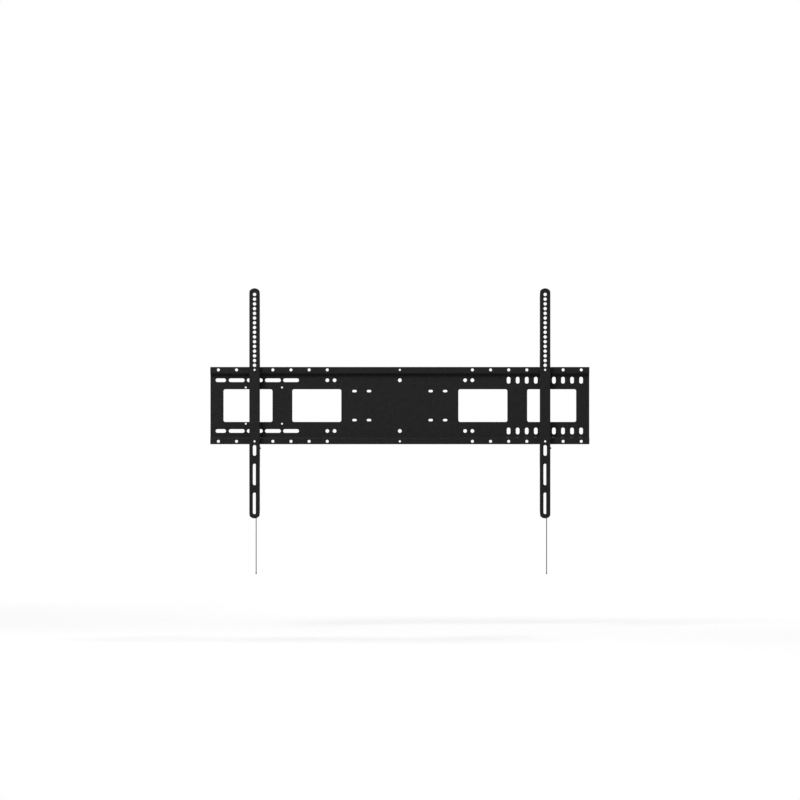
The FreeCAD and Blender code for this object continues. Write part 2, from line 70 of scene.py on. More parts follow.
NEUTRAL = 0.4  # Share of the gauge, from a bend's inside, that keeps its length
QUARTER = math.pi / 2
ARC_STEPS = 8  # Segments in the arc of a corner or a bend
Array = np.ndarray
Colour = Place = Corner = tuple[float, float, float]
Socket = bpy.types.NodeSocket


class Side(Enum):
    """Which arm a piece belongs to, as seen from the room."""

    LEFT = "left"
    RIGHT = "right"

    def node(self, piece: str) -> str:
        """Return the frame's name for a piece, body or joint of this arm."""
        return f"{self.value}_{piece}"


class Axis(Enum):
    """A direction of the shared frame, by its place in a point."""

    ACROSS = 0
    DEEP = 1
    UP = 2


@dataclass(frozen=True)
class Extent:
    """A node's box at rest: its sides across the frame, its depths from the wall and its heights."""

    left: float
    right: float
    front: float
    back: float
    bottom: float
    top: float

    @staticmethod
    def of(node: str, x: float = 0.0) -> "Extent":
        """Read a node's box, to a thousandth of a millimetre, with its sides counted from x."""
        low, high = np.round(np.array(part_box(node)) / MM, 3)
        return Extent(low[0] - x, high[0] - x, -low[1], -high[1], low[2], high[2])

    @property
    def x(self) -> float:
        """Return the middle across the frame."""
        return (self.left + self.right) / 2

    @property
    def depth(self) -> float:
        """Return the middle's depth from the wall."""
        return (self.front + self.back) / 2

    @property
    def width(self) -> float:
        """Return the size across the frame."""
        return self.right - self.left

    @property
    def height(self) -> float:
        """Return the size from bottom to top."""
        return self.top - self.bottom


@dataclass(frozen=True)
class Row:
    """Evenly spaced places: the first, the pitch and how many."""

    first: float
    pitch: float
    count: int

    @property
    def places(self) -> Array:
        """Return the places in order."""
        return self.first + self.pitch * np.arange(self.count)


# Lines and loops in a plane


def unit(vectors: Array) -> Array:
    """Return the vectors at length one."""
    return vectors / np.maximum(np.linalg.norm(vectors, axis=-1, keepdims=True), TINY)


def direction(angle: float | Array) -> Array:
    """Return the unit vectors at angles in a plane: their cosines and sines."""
    return np.stack([np.cos(angle), np.sin(angle)], axis=-1)


def full_turn(steps: int) -> Array:
    """Return evenly spaced angles once round."""
    return np.arange(steps) * (2 * np.pi / steps)


def line_normals(points: Array, closed: bool) -> Array:
    """Work out the left-hand normals of a line in a plane.

    Each point takes the mean of its two segments' normals, weighted by their lengths, so that a long
    flat keeps its own direction up to where a round corner starts.

    Args:
        points: The line's points in order.
        closed: Whether the last point joins the first.

    Returns:
        One unit normal for each point.
    """
    steps = np.roll(points, -1, axis=0) - points
    if not closed:
        steps[-1] = 0.0
    lefts = np.stack([-steps[:, 1], steps[:, 0]], axis=1)
    return unit(lefts + np.roll(lefts, 1, axis=0))


def rounded(corners: Sequence[Corner], closed: bool = True, steps: int = ARC_STEPS) -> Array:
    """Round the corners of a line in a plane.

    An arc starts and ends at radius / tan(half the corner's angle) from its corner, and its centre is
    on the bisector at radius / sin(half the angle). Its points turn evenly in between.

    Args:
        corners: The two places and the radius of each corner, in order.
        closed: Whether the last corner joins the first. An open line keeps its two ends.
        steps: Segments in each arc.

    Returns:
        The points of the rounded line, steps + 1 for each corner.
    """
    p, r = np.split(np.asarray(corners, float), [2], axis=1)
    back = unit(np.roll(p, 1, axis=0) - p)
    ahead = unit(np.roll(p, -1, axis=0) - p)
    half = np.arccos(np.clip((back * ahead).sum(1, keepdims=True), -1, 1)) / 2
    centre = p + unit(back + ahead) * r / np.sin(half)
    first = p + back * r / np.tan(half) - centre
    last = p + ahead * r / np.tan(half) - centre
    start = np.arctan2(first[:, 1], first[:, 0])[:, None]
    product = first[:, 0] * last[:, 1] - first[:, 1] * last[:, 0]
    swing = np.arctan2(product, (first * last).sum(1))[:, None]
    arcs = centre[:, None] + r[:, None] * direction(start + swing * np.linspace(0, 1, steps + 1))
    if closed:
        return arcs.reshape(-1, 2)
    return np.vstack([p[:1], arcs[1:-1].reshape(-1, 2), p[-1:]])


def ring_loop(x: float, y: float, width: float, steps: int = 40) -> Array:
    """Return a round hole's points: its middle plus half its width along turned directions."""
    return width / 2 * direction(full_turn(steps)) + (x, y)


def slot_loop(x: float, y: float, length: float, width: float, upright: bool = False) -> Array:
    """Lay out a round-ended slot: two half rounds, each (length - width) / 2 from the middle.

    Args:
        x: First place of the slot's middle.
        y: Second place of the slot's middle.
        length: Length from end to end.
        width: Width across.
        upright: Whether the slot runs along the second place.

    Returns:
        The loop's points.
    """
    angle = np.linspace(-QUARTER, QUARTER, 3 * ARC_STEPS + 1)
    end = width / 2 * direction(angle) + ((length - width) / 2, 0.0)
    loop = np.vstack([end, -end])
    return (loop[:, ::-1] if upright else loop) + (x, y)


def box_loop(x: float, y: float, wide: float, high: float, radius: float) -> Array:
    """Return a rectangle's points about its middle, with rounded corners."""
    signs = ((-1, -1), (1, -1), (1, 1), (-1, 1))
    return rounded([(x + i * wide / 2, y + j * high / 2, radius) for i, j in signs])


def facing(loop: Array, way: float) -> Array:
    """Turn a closed loop anticlockwise for a way of +1 and clockwise for -1, by its area's sign."""
    x, y = loop.T
    return loop if (x * np.roll(y, -1) - y * np.roll(x, -1)).sum() * way > 0 else loop[::-1]


def divided(loop: Array, place: int, lines: Array) -> Array:
    """Add points to a closed loop where its runs cross lines.

    A run crosses a line at the share (line - start) / (end - start) of its way. A crossing very near
    an end of the run is left to the point there.

    Args:
        loop: The loop's points.
        place: Which of a point's two places the lines are given by.
        lines: The lines' places.

    Returns:
        The loop, with the added points in order.
    """
    run = np.roll(loop, -1, axis=0) - loop
    rise = np.where(np.abs(run[:, place]) < TINY, np.inf, run[:, place])[:, None]
    share = (lines - loop[:, place, None]) / rise
    spare = NEAR / np.maximum(np.linalg.norm(run, axis=1), TINY)[:, None]
    crossed, line = np.nonzero((share > spare) & (share < 1 - spare))
    at = share[crossed, line]
    added = loop[crossed] + at[:, None] * run[crossed]
    order = np.argsort(np.concatenate([np.arange(len(loop)), crossed + at]))
    return np.vstack([loop, added])[order]


def inside_loops(points: Array, loops: Sequence[Array]) -> Array:
    """Tell which points lie inside an odd number of loops.

    A point is inside a loop if a ray along the first axis crosses its edges an odd number of times.

    Args:
        points: The points to test.
        loops: Closed loops of points.

    Returns:
        One truth value for each point.
    """
    within = np.zeros(len(points), bool)
    for loop in loops:
        near = np.flatnonzero(((points >= loop.min(0)) & (points <= loop.max(0))).all(1))
        x, y = points[near, 0][:, None], points[near, 1][:, None]
        ax, ay = loop.T
        bx, by = np.roll(loop, -1, axis=0).T
        rise = np.where(by == ay, 1.0, by - ay)
        crossed = ((ay > y) != (by > y)) & (x < ax + (y - ay) * (bx - ax) / rise)
        within[near] ^= crossed.sum(1) % 2 == 1
    return within


# Surfaces


@dataclass
class Surface:
    """Points with their triangles, outward normals and rim shares.

    A rim share is 1 on a cut edge or a strand's crest and 0 on a flat face; finishes paint a paler tone
    there, a painted highlight.
    """

    points: Array
    triangles: Array
    normals: Array
    rims: Array

    @staticmethod
    def joined(parts: Sequence["Surface"]) -> "Surface":
        """Gather several surfaces in one.

        Args:
            parts: The surfaces, which keep their order.

        Returns:
            One surface, with each part's triangles counted on from the points before it.
        """
        firsts = np.cumsum([0] + [len(part.points) for part in parts[:-1]])
        return Surface(
            np.vstack([part.points for part in parts]),
            np.vstack([part.triangles + first for part, first in zip(parts, firsts)]),
            np.vstack([part.normals for part in parts]),
            np.concatenate([part.rims for part in parts]),
        )

    def shifted(self, x: float, y: float = 0.0, z: float = 0.0) -> "Surface":
        """Return the surface moved by a shift."""
        return Surface(self.points + (x, y, z), self.triangles, self.normals, self.rims)

    def turned_outwards(self) -> "Surface":
        """Turn the triangles to face out.

        The signed volume is a sixth of the sum of the triangles' triple products. Below zero, all are
        inside out.

        Returns:
            The same surface.
        """
        a, b, c = (self.points[self.triangles[:, k]] for k in range(3))
        if np.einsum("ij,ij->i", a, np.cross(b, c)).sum() < 0:
            self.triangles = self.triangles[:, ::-1]
        return self

    def as_object(self, name: str, material: bpy.types.Material) -> bpy.types.Object:
        """Write the surface as a mesh object at the origin.

        Args:
            name: The piece's name.
            material: Its finish.

        Returns:
            The object, with smooth faces, its own normals and a rim attribute.
        """
        mesh = bpy.data.meshes.new(name)
        mesh.from_pydata((self.points * MM).tolist(), [], self.triangles.tolist())
        mesh.polygons.foreach_set("use_smooth", np.ones(len(mesh.polygons), bool))
        rim = mesh.attributes.new("rim", "FLOAT", "POINT")
        rim.data.foreach_set("value", self.rims.astype(np.float32))
        mesh.normals_split_custom_set_from_vertices(self.normals.tolist())
        mesh.materials.append(material)
        return placed(name, mesh)


def placed(name: str, data: bpy.types.ID) -> bpy.types.Object:
    """Make an object at the origin and link it to the scene.

    Args:
        name: The object's name.
        data: Its mesh, lamp or camera.

    Returns:
        The object.
    """
    thing = bpy.data.objects.new(name, data)
    bpy.context.scene.collection.objects.link(thing)
    return thing


def grid_triangles(rows: int, columns: int, capped: bool) -> Array:
    """List the triangles of a grid of points counted row by row, each row closed on itself.

    Args:
        rows: How many rows of points there are.
        columns: How many points are in a row.
        capped: Whether two more points close the first row and the last. If not, these rows join.

    Returns:
        Triangles as rows of three point numbers.
    """
    i, j = np.meshgrid(np.arange(rows - capped), np.arange(columns), indexing="ij")
    down, beside = (i + 1) % rows, (j + 1) % columns
    a, b = i * columns + j, i * columns + beside
    c, d = down * columns + beside, down * columns + j
    sides = np.stack([a, b, c, a, c, d], axis=-1).reshape(-1, 3)
    if not capped:
        return sides
    first = np.stack([np.full(columns, rows * columns), b[0], a[0]], axis=1)
    last = np.stack([np.full(columns, rows * columns + 1), d[-1], c[-1]], axis=1)
    return np.vstack([sides, first, last])


# Folded sheet


@dataclass(frozen=True)
class Run:
    """A run of a fold path: its length on the blank, its turn to the left, and its face's radius."""

    length: float
    turn: float = 0.0
    radius: float = 0.0

    def follow(self, point: Array, heading: float, offset: Array) -> tuple[Array, Array]:
        """Follow the run from its start.

        A flat goes straight on. A bend goes round an arc, whose chord is the arc's length times the
        sine of half its angle over half its angle, along the mean of the headings at its ends.

        Args:
            point: Where the run starts.
            heading: The heading there.
            offset: Places along the run's strip of the blank.

        Returns:
            The places and headings at the offsets.
        """
        turned = self.turn * offset / self.length
        arc = self.radius * np.abs(turned) if self.turn else offset
        chord = arc * np.sinc(turned / (2 * np.pi))
        return point + chord[:, None] * direction(heading + turned / 2), heading + turned


def bent_run(turn: float, inner: float, gauge: float, outside: bool = True) -> Run:
    """Bend a sheet.

    Args:
        turn: Degrees to the left.
        inner: Radius inside the bend.
        gauge: The sheet's thickness.
        outside: Whether the sheet's first face is on the bend's outside.

    Returns:
        A run whose strip of the blank is as long as the arc at the neutral share of the gauge.
    """
    angle = math.radians(turn)
    return Run(abs(angle) * (inner + NEUTRAL * gauge), angle, inner + gauge if outside else inner)


@dataclass(frozen=True)
class FoldPath:
    """The line that a sheet's first face follows, seen along the bends.

    through is +1 where the sheet's thickness lies to the left of the line and -1 to the right.
    """

    start: tuple[float, float]
    heading: float
    runs: tuple[Run, ...]
    through: float = 1.0

    @property
    def length(self) -> float:
        """Return the blank's length along the path."""
        return sum(run.length for run in self.runs)

    def bend_lines(self) -> Array:
        """List the lines across the blank that its bends need.

        Returns:
            The places along the blank where each bend starts, is divided evenly, and ends.
        """
        starts = np.cumsum([0.0] + [run.length for run in self.runs[:-1]])
        shares = np.linspace(0, 1, ARC_STEPS + 1)
        bends = [(start, run) for start, run in zip(starts, self.runs) if run.turn]
        return np.concatenate([start + run.length * shares for start, run in bends])

    def sweep(self, along: Array, depth: Array) -> tuple[Array, Array, Array]:
        """Follow the path to places along the blank, and add depths through the sheet.

        Args:
            along: Places along the blank.
            depth: Depths from the first face, along its normal.

        Returns:
            The points in the plane of the path, with the unit tangents and normals there.
        """
        points, headings = np.zeros((len(along), 2)), np.zeros(len(along))
        point, heading, begun = np.array(self.start), math.radians(self.heading), 0.0
        for run in self.runs:
            here = along >= begun - TINY
            points[here], headings[here] = run.follow(point, heading, along[here] - begun)
            (point,), (heading,) = run.follow(point, heading, np.array([run.length]))
            begun += run.length
        normals = self.through * direction(headings + QUARTER)
        return points + depth[:, None] * normals, direction(headings), normals


@dataclass(frozen=True)
class Lug:
    """A tongue cut free of a flange on three sides and folded across the sheet's own bends.

    root is where its fold starts along the bends; middle and half are its strip along the blank; path
    is its fold, in the plane of the frame's across and up directions.
    """

    root: float
    middle: float
    half: float
    path: FoldPath

    def bend_lines(self) -> Array:
        """Return the places along the sheet's bends where the lug's own bend is divided."""
        return self.root - self.path.bend_lines()

    def holds(self, blank: Array) -> Array:
        """Tell which of the blank's points are on the lug."""
        run, aside = self.root - blank[:, 0], np.abs(blank[:, 1] - self.middle)
        return (run > 0) & (run < self.path.length + TINY) & (aside < self.half)


@dataclass
class FoldedSheet:
    """A blank with holes and rounded rims, folded along a path.

    A blank's point is (a, b): a along the bends and b along the path. axes names the frame's
    directions of a and of the path's two places. columns are the places along the bends where the
    bend lines are divided, and the margins are how far these stay from the sheet's and the lug's rims.
    """

    path: FoldPath
    gauge: float
    axes: tuple[Axis, Axis, Axis]
    outline: Array
    holes: list[Array]
    columns: Array
    lug: Lug | None = None
    rim: float = 0.45
    rim_steps: int = 3
    margin: float = 0.4
    lug_margin: float = 0.6
    lug_columns: int = 6

    def rim_section(self) -> tuple[Array, Array, Array, Array]:
        """Work out the section of a rim, from the sheet's first face to its second.

        A quarter round leaves the first face, and its mirror image meets the second.

        Returns:
            Each point's inset from the edge, its depth, and its normal's outward and through parts.
        """
        cosine, sine = direction(np.linspace(0, QUARTER, self.rim_steps + 1)).T
        inset, depth = self.rim * (1 - sine), self.rim * (1 - cosine)
        return (
            np.concatenate([inset, inset[::-1]]),
            np.concatenate([depth, self.gauge - depth[::-1]]),
            np.concatenate([sine, sine[::-1]]),
            np.concatenate([-cosine, cosine[::-1]]),
        )

    def fold_lattice(self, loops: list[Array]) -> tuple[Array, Array]:
        """Lay points on the bend lines, clear of the blank's edges, and join them along the lines.

        Args:
            loops: The blank's loops, set in by the rims and the margin.

        Returns:
            The points, and the pairs of them that no triangle may cross between.
        """
        grids = [np.meshgrid(self.columns, self.path.bend_lines(), indexing="ij")]
        if self.lug:
            reach = self.lug.half - self.rim - self.lug_margin
            strip = self.lug.middle + np.linspace(-reach, reach, self.lug_columns)
            grids.append(np.meshgrid(strip, self.lug.bend_lines(), indexing="ij")[::-1])
        points, edges, count = [], [], 0
        for grid in (np.stack(places, axis=-1) for places in grids):
            kept = inside_loops(grid.reshape(-1, 2), loops).reshape(grid.shape[:2])
            number = np.cumsum(kept).reshape(kept.shape) - 1 + count
            linked = kept[:-1] & kept[1:]
            points.append(grid[kept])
            edges.append(np.stack([number[:-1][linked], number[1:][linked]], axis=1))
            count += len(points[-1])
        return np.vstack(points), np.vstack(edges)

    def filled(self, points: Array, edges: Array, loops: list[Array]) -> Array:
        """Fill the blank between its loops with triangles.

        No two edges cross, so the triangulation keeps the points as they are and adds none.

        Args:
            points: The loops' points, then those of the lattice.
            edges: Pairs of points that stay joined.
            loops: The same loops, to tell the blank from its holes.

        Returns:
            Triangles over the points, all turned one way.
        """
        _, _, faces, _, _, _ = delaunay_2d_cdt(points.tolist(), edges.tolist(), [], 0, TINY)
        triangles = np.array(faces)
        return triangles[inside_loops(points[triangles].mean(1), loops)]

    def surface(self) -> Surface:
        """Punch, round and fold the sheet.

        Each loop is set in and lowered along the rim's section to make rings of points; the first and
        the last ring bound the two faces. A point of the blank at depth w goes to the path's point at
        b plus w along the path's normal, and keeps a. A lug's points go on to the lug's own path.

        Returns:
            The closed surface, with exact normals.
        """
        outline = divided(self.outline, 1, self.path.bend_lines())
        loops = [facing(outline, 1.0)] + [facing(hole, -1.0) for hole in self.holes]
        flat = np.vstack(loops)
        lefts = np.vstack([line_normals(loop, closed=True) for loop in loops])
        ends = np.cumsum([len(loop) for loop in loops])
        following = np.arange(len(flat)) + 1
        following[ends - 1] = np.concatenate([[0], ends[:-1]])
        inset, depth, outward, through = self.rim_section()
        rings, count = len(inset), len(flat)

        # Triangles of the two faces, which share one filling, and of the rims between them
        face_points = flat + self.rim * lefts
        extra, links = self.fold_lattice(np.split(flat + (self.rim + self.margin) * lefts, ends[:-1]))
        edges = np.vstack([np.stack([np.arange(count), following], axis=1), links + count])
        face = self.filled(np.vstack([face_points, extra]), edges, np.split(face_points, ends[:-1]))
        last = (rings - 1) * count
        first_face = np.where(face < count, face, face + last)[:, ::-1]
        last_face = np.where(face < count, face + last, face + last + len(extra))
        ring, place = np.meshgrid(np.arange(rings - 1), np.arange(count), indexing="ij")
        a, b = ring * count + place, ring * count + following[place]
        rim_faces = np.stack([a, b, b + count, a, b + count, a + count], axis=-1).reshape(-1, 3)

        # Places on the blank, depths, normals across and through the sheet, and rim shares
        level = np.zeros(len(extra))
        blank = np.vstack([(flat + inset[:, None, None] * lefts).reshape(-1, 2), extra, extra])
        across = np.zeros_like(blank)
        across[:rings * count] = (-outward[:, None, None] * lefts).reshape(-1, 2)
        w = np.concatenate([np.repeat(depth, count), level, level + self.gauge])
        rise = np.concatenate([np.repeat(through, count), level - 1, level + 1])[:, None]
        share = np.concatenate([np.repeat(outward, count), level, level])

        # Places and normals in the frame
        order = [axis.value for axis in self.axes]
        points, normals = np.zeros((len(blank), 3)), np.zeros((len(blank), 3))
        places, tangent, normal = self.path.sweep(blank[:, 1], w)
        points[:, order] = np.column_stack([blank[:, 0], places])
        normals[:, order] = np.column_stack([across[:, 0], across[:, 1:] * tangent + rise * normal])
        if self.lug:
            on = np.flatnonzero(self.lug.holds(blank))
            places, tangent, normal = self.lug.path.sweep(self.lug.root - blank[on, 0], w[on])
            plane = [Axis.ACROSS.value, Axis.UP.value]
            points[on[:, None], plane] = places
            normals[on[:, None], plane] = rise[on] * normal - across[on, :1] * tangent
            normals[on, Axis.DEEP.value] = across[on, 1]
        triangles = np.vstack([first_face, last_face, rim_faces])
        return Surface(points, triangles, unit(normals), share).turned_outwards()


# Turned pieces and tubes


@dataclass
class Turned:
    """An outline of (along, radius) points spun about an axis.

    An open outline runs from a low pole to a high one; a closed one is the section of a ring. prongs
    and gap draw a ring's bore out between that many prongs.
    """

    outline: Array
    axis: Axis
    closed: bool = False
    steps: int = 40
    prongs: int = 0
    gap: float = 0.0

    def surface(self) -> Surface:
        """Spin the outline: a point goes to its radius times the turned direction.

        Between prongs the bore grows by the gap times the fourth power of the half-angle's sine.

        Returns:
            The closed surface. All the points of a pole are one.
        """
        outline = facing(self.outline, -1.0) if self.closed else self.outline
        angle = full_turn(self.steps)
        frame_order = np.argsort([(self.axis.value + k) % 3 for k in range(3)])

        def spun(along: Array, reach: Array) -> Array:
            """Turn places right round the axis.

            Args:
                along: Where each row is along the axis.
                reach: How far its points are from the axis.

            Returns:
                The points row by row. An open outline's two poles come last, once each.
            """
            around = np.broadcast_arrays(along, reach * np.cos(angle), reach * np.sin(angle))
            rows = np.stack(around, axis=-1)[..., frame_order]
            if self.closed:
                return rows.reshape(-1, 3)
            return np.vstack([rows[1:-1].reshape(-1, 3), rows[0, :1], rows[-1, :1]])

        along, radius = outline[:, :1], outline[:, 1:]
        bore = (radius.max() - radius) / np.ptp(radius)
        points = spun(along, radius + bore * self.gap * np.sin(self.prongs * angle / 2) ** 4)
        lefts = line_normals(outline, self.closed)
        lefts[radius[:, 0] < TINY, 1] = 0.0
        normals = unit(spun(lefts[:, :1], lefts[:, 1:]))
        rows = len(points) // self.steps
        triangles = grid_triangles(rows, self.steps, not self.closed)
        return Surface(points, triangles, normals, np.zeros(len(points))).turned_outwards()


@dataclass
class Tube:
    """A round section along a line in space, with a row of radii for each point of the line."""

    line: Array
    radius: Array
    reference: Place

    def surface(self) -> Surface:
        """Carry the section along the line.

        The section's directions at a point are the reference with its part along the line taken out,
        and the product of the line's direction and that. A point on the line closes each end.

        Returns:
            The closed surface, with normals from the product of the grid's own slopes. Its rim
            shares go from 0 at the least radius to 1 at the greatest.
        """
        rows, columns = self.radius.shape
        tangent = unit(np.gradient(self.line, axis=0))
        reference = np.asarray(self.reference)
        first = unit(reference - (tangent @ reference)[:, None] * tangent)[:, None]
        second = np.cross(tangent, first[:, 0])[:, None]
        angle = full_turn(columns)[None, :, None]
        spokes = np.cos(angle) * first + np.sin(angle) * second
        skin = self.line[:, None] + self.radius[..., None] * spokes
        slope_round = np.roll(skin, -1, axis=1) - np.roll(skin, 1, axis=1)
        normals = unit(np.cross(slope_round, np.gradient(skin, axis=0)))
        points = np.vstack([skin.reshape(-1, 3), self.line[:1], self.line[-1:]])
        normals = np.vstack([normals.reshape(-1, 3), -tangent[:1], tangent[-1:]])
        crest = (self.radius - self.radius.min()) / max(np.ptp(self.radius), TINY)
        triangles = grid_triangles(rows, columns, True)
        return Surface(points, triangles, normals, np.append(crest, (0.0, 0.0))).turned_outwards()


# Finishes


@dataclass
class NodeDesk:
    """A node tree, with short ways to add and join nodes."""

    tree: bpy.types.NodeTree

    def add(self, kind: str, **settings: object) -> bpy.types.Node:
        """Add a shader node.

        Args:
            kind: The node's type without its usual first words.
            settings: Properties to set, by name.

        Returns:
            The node.
        """
        node = self.tree.nodes.new(f"ShaderNode{kind}")
        for name, value in settings.items():
            setattr(node, name, value)
        return node

    def feed(self, node: bpy.types.Node, *sources: Socket, **inputs: object) -> Socket:
        """Give a node its inputs.

        Args:
            node: The node.
            sources: Sockets to link to its inputs in order.
            inputs: Sockets to link or values to set, by the input's name with _ for a space.

        Returns:
            The node's first live output.
        """
        for socket, source in zip(node.inputs, sources):
            self.tree.links.new(source, socket)
        for name, value in inputs.items():
            socket = next(s for s in node.inputs if s.enabled and s.name == name.replace("_", " "))
            if isinstance(value, Socket):
                self.tree.links.new(value, socket)
            else:
                socket.default_value = (*value, 1.0) if socket.type == "RGBA" else value
        return next(s for s in node.outputs if s.enabled)

    def reckon(self, operation: str, first: Socket, second: Socket) -> Socket:
        """Join two values by a sum or other operation."""
        return self.feed(self.add("Math", operation=operation), first, second)

    def place(self) -> Socket:
        """Return the object's own coordinates."""
        return self.add("TexCoord").outputs["Object"]

    def noise(self, scale: float, detail: float, stretch: Place = (1.0, 1.0, 1.0)) -> Socket:
        """Return a noise over the object, of scale grains a metre, stretched along each direction."""
        place = self.feed(self.add("Mapping"), Vector=self.place(), Scale=stretch)
        return self.feed(self.add("TexNoise"), Vector=place, Scale=scale, Detail=detail)

    def spread(self, value: Socket, low: float, high: float, start: float = 0.3, end: float = 0.7) -> Socket:
        """Map a value from start and end, where most of a noise lies, to low and high."""
        ranges = {"From_Min": start, "From_Max": end, "To_Min": low, "To_Max": high}
        return self.feed(self.add("MapRange"), Value=value, **ranges)

    def blend(self, share: Socket, first: object, second: object) -> Socket:
        """Mix two colours, each a value or a socket, by a share from 0 to 1."""
        return self.feed(self.add("Mix", data_type="RGBA"), Factor=share, A=first, B=second)


@dataclass(frozen=True)
class Finish:
    """A procedural finish: two tones by a cloud, gloss and relief by a grain, and a paler tint on edges that
    is a painted highlight.

    cloud and grain are noise scales in grains a metre, stretch draws the grain out along each
    direction, and depth is the relief's height in metres.
    """

    deep: Colour
    pale: Colour
    rough: tuple[float, float]
    cloud: float
    grain: float
    stretch: Place = (1.0, 1.0, 1.0)
    cloud_detail: float = 4.0
    grain_detail: float = 2.5
    relief: float = 0.2
    depth: float = 0.0001
    # Paler tone where the rim share is high: a painted highlight on cut edges and strand crests
    edge: Colour | None = None
    metal: float = 0.0
    specular: float = 0.5

    def material(self, name: str) -> bpy.types.Material:
        """Build the finish as a material.

        Args:
            name: The material's name.

        Returns:
            The material, whose patterns read the piece's own coordinates and rim attribute.
        """
        material = bpy.data.materials.new(name)
        material.use_nodes = True
        desk = NodeDesk(material.node_tree)
        grain = desk.noise(self.grain, self.grain_detail, self.stretch)
        cloud = desk.spread(desk.noise(self.cloud, self.cloud_detail), 0.0, 1.0)
        tone = desk.blend(cloud, self.deep, self.pale)
        # Blend in the edge tone by the rim attribute: a painted highlight on rims and crests, painted shade
        # in the cord's grooves
        if self.edge:
            rim = desk.add("Attribute", attribute_name="rim").outputs["Fac"]
            tone = desk.blend(rim, tone, self.edge)
        bump = desk.feed(desk.add("Bump"), Height=grain, Strength=self.relief, Distance=self.depth)
        shader = material.node_tree.nodes["Principled BSDF"]
        desk.feed(shader, Base_Color=tone, Roughness=desk.spread(grain, *self.rough), Normal=bump,
                  Metallic=self.metal, Specular_IOR_Level=self.specular)
        return material


FINISHES = {
    # Satin powder coat with a fine texture; its paler tone on rims is partly a thinner coat over cut edges
    # and partly a painted highlight
    "black_powder_coat": Finish(
        deep=(0.0090, 0.0090, 0.0092), pale=(0.0130, 0.0130, 0.0132), rough=(0.36, 0.50), cloud=90.0,
        grain=1500.0, relief=0.35, depth=0.0002, edge=(0.0220, 0.0220, 0.0224), specular=0.08),
    # Clear zinc plate on rolled sheet, with upright rolling marks and a cloudy bloom
    "zinc_plated_steel": Finish(
        deep=(0.40, 0.41, 0.43), pale=(0.55, 0.56, 0.57), rough=(0.28, 0.44), cloud=160.0,
        grain=900.0, stretch=(1.0, 1.0, 0.06), relief=0.15, metal=1.0),
    # Oiled black oxide on turned and pressed steel
    "blackened_steel": Finish(
        deep=(0.020, 0.020, 0.022), pale=(0.042, 0.042, 0.044), rough=(0.32, 0.46), cloud=700.0,
        grain=2200.0, relief=0.1, metal=0.8),
    # Bright drawn wire
    "spring_steel": Finish(
        deep=(0.36, 0.36, 0.37), pale=(0.50, 0.50, 0.51), rough=(0.22, 0.36), cloud=1200.0,
        grain=2600.0, relief=0.1, metal=1.0),
    # Black polyester braid, with a painted highlight on the strands' crests and painted shade in the grooves
    # between them
    "black_cord": Finish(
        deep=(0.003, 0.003, 0.003), pale=(0.006, 0.006, 0.006), rough=(0.60, 0.80), cloud=900.0,
        grain=4200.0, relief=0.3, edge=(0.040, 0.040, 0.043), specular=0.1),
    # Satin black moulding of the cord's stop and bead
    "black_crimp": Finish(
        deep=(0.010, 0.010, 0.010), pale=(0.018, 0.018, 0.018), rough=(0.38, 0.50), cloud=800.0,
        grain=3000.0, specular=0.4),
}


class Bench:
    """Where finished surfaces become pieces on the frame."""

    def __init__(self) -> None:
        """Note each node's slot and make the finishes."""
        self.slots = {entry["node"]: entry["material_slot"] for entry in frame["record"]["subparts"]}
        self.materials = {slot: finish.material(slot) for slot, finish in FINISHES.items()}

    def seat(self, surface: Surface, name: str, node: str, body: str) -> bpy.types.Object:
        """Let a surface stand for its node, in the node's finish, and ride on a body.

        Args:
            surface: The finished surface.
            name: The piece's name.
            node: The frame's node that it replaces.
            body: The body that carries it.

        Returns:
            The piece.
        """
        slot = self.slots[node]
        piece = surface.as_object(name, self.materials[slot])
        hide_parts(node)
        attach(piece, body)
        LOG.info("%s: %d triangles on %s", name, len(surface.triangles), body)
        return piece


# Wall plate


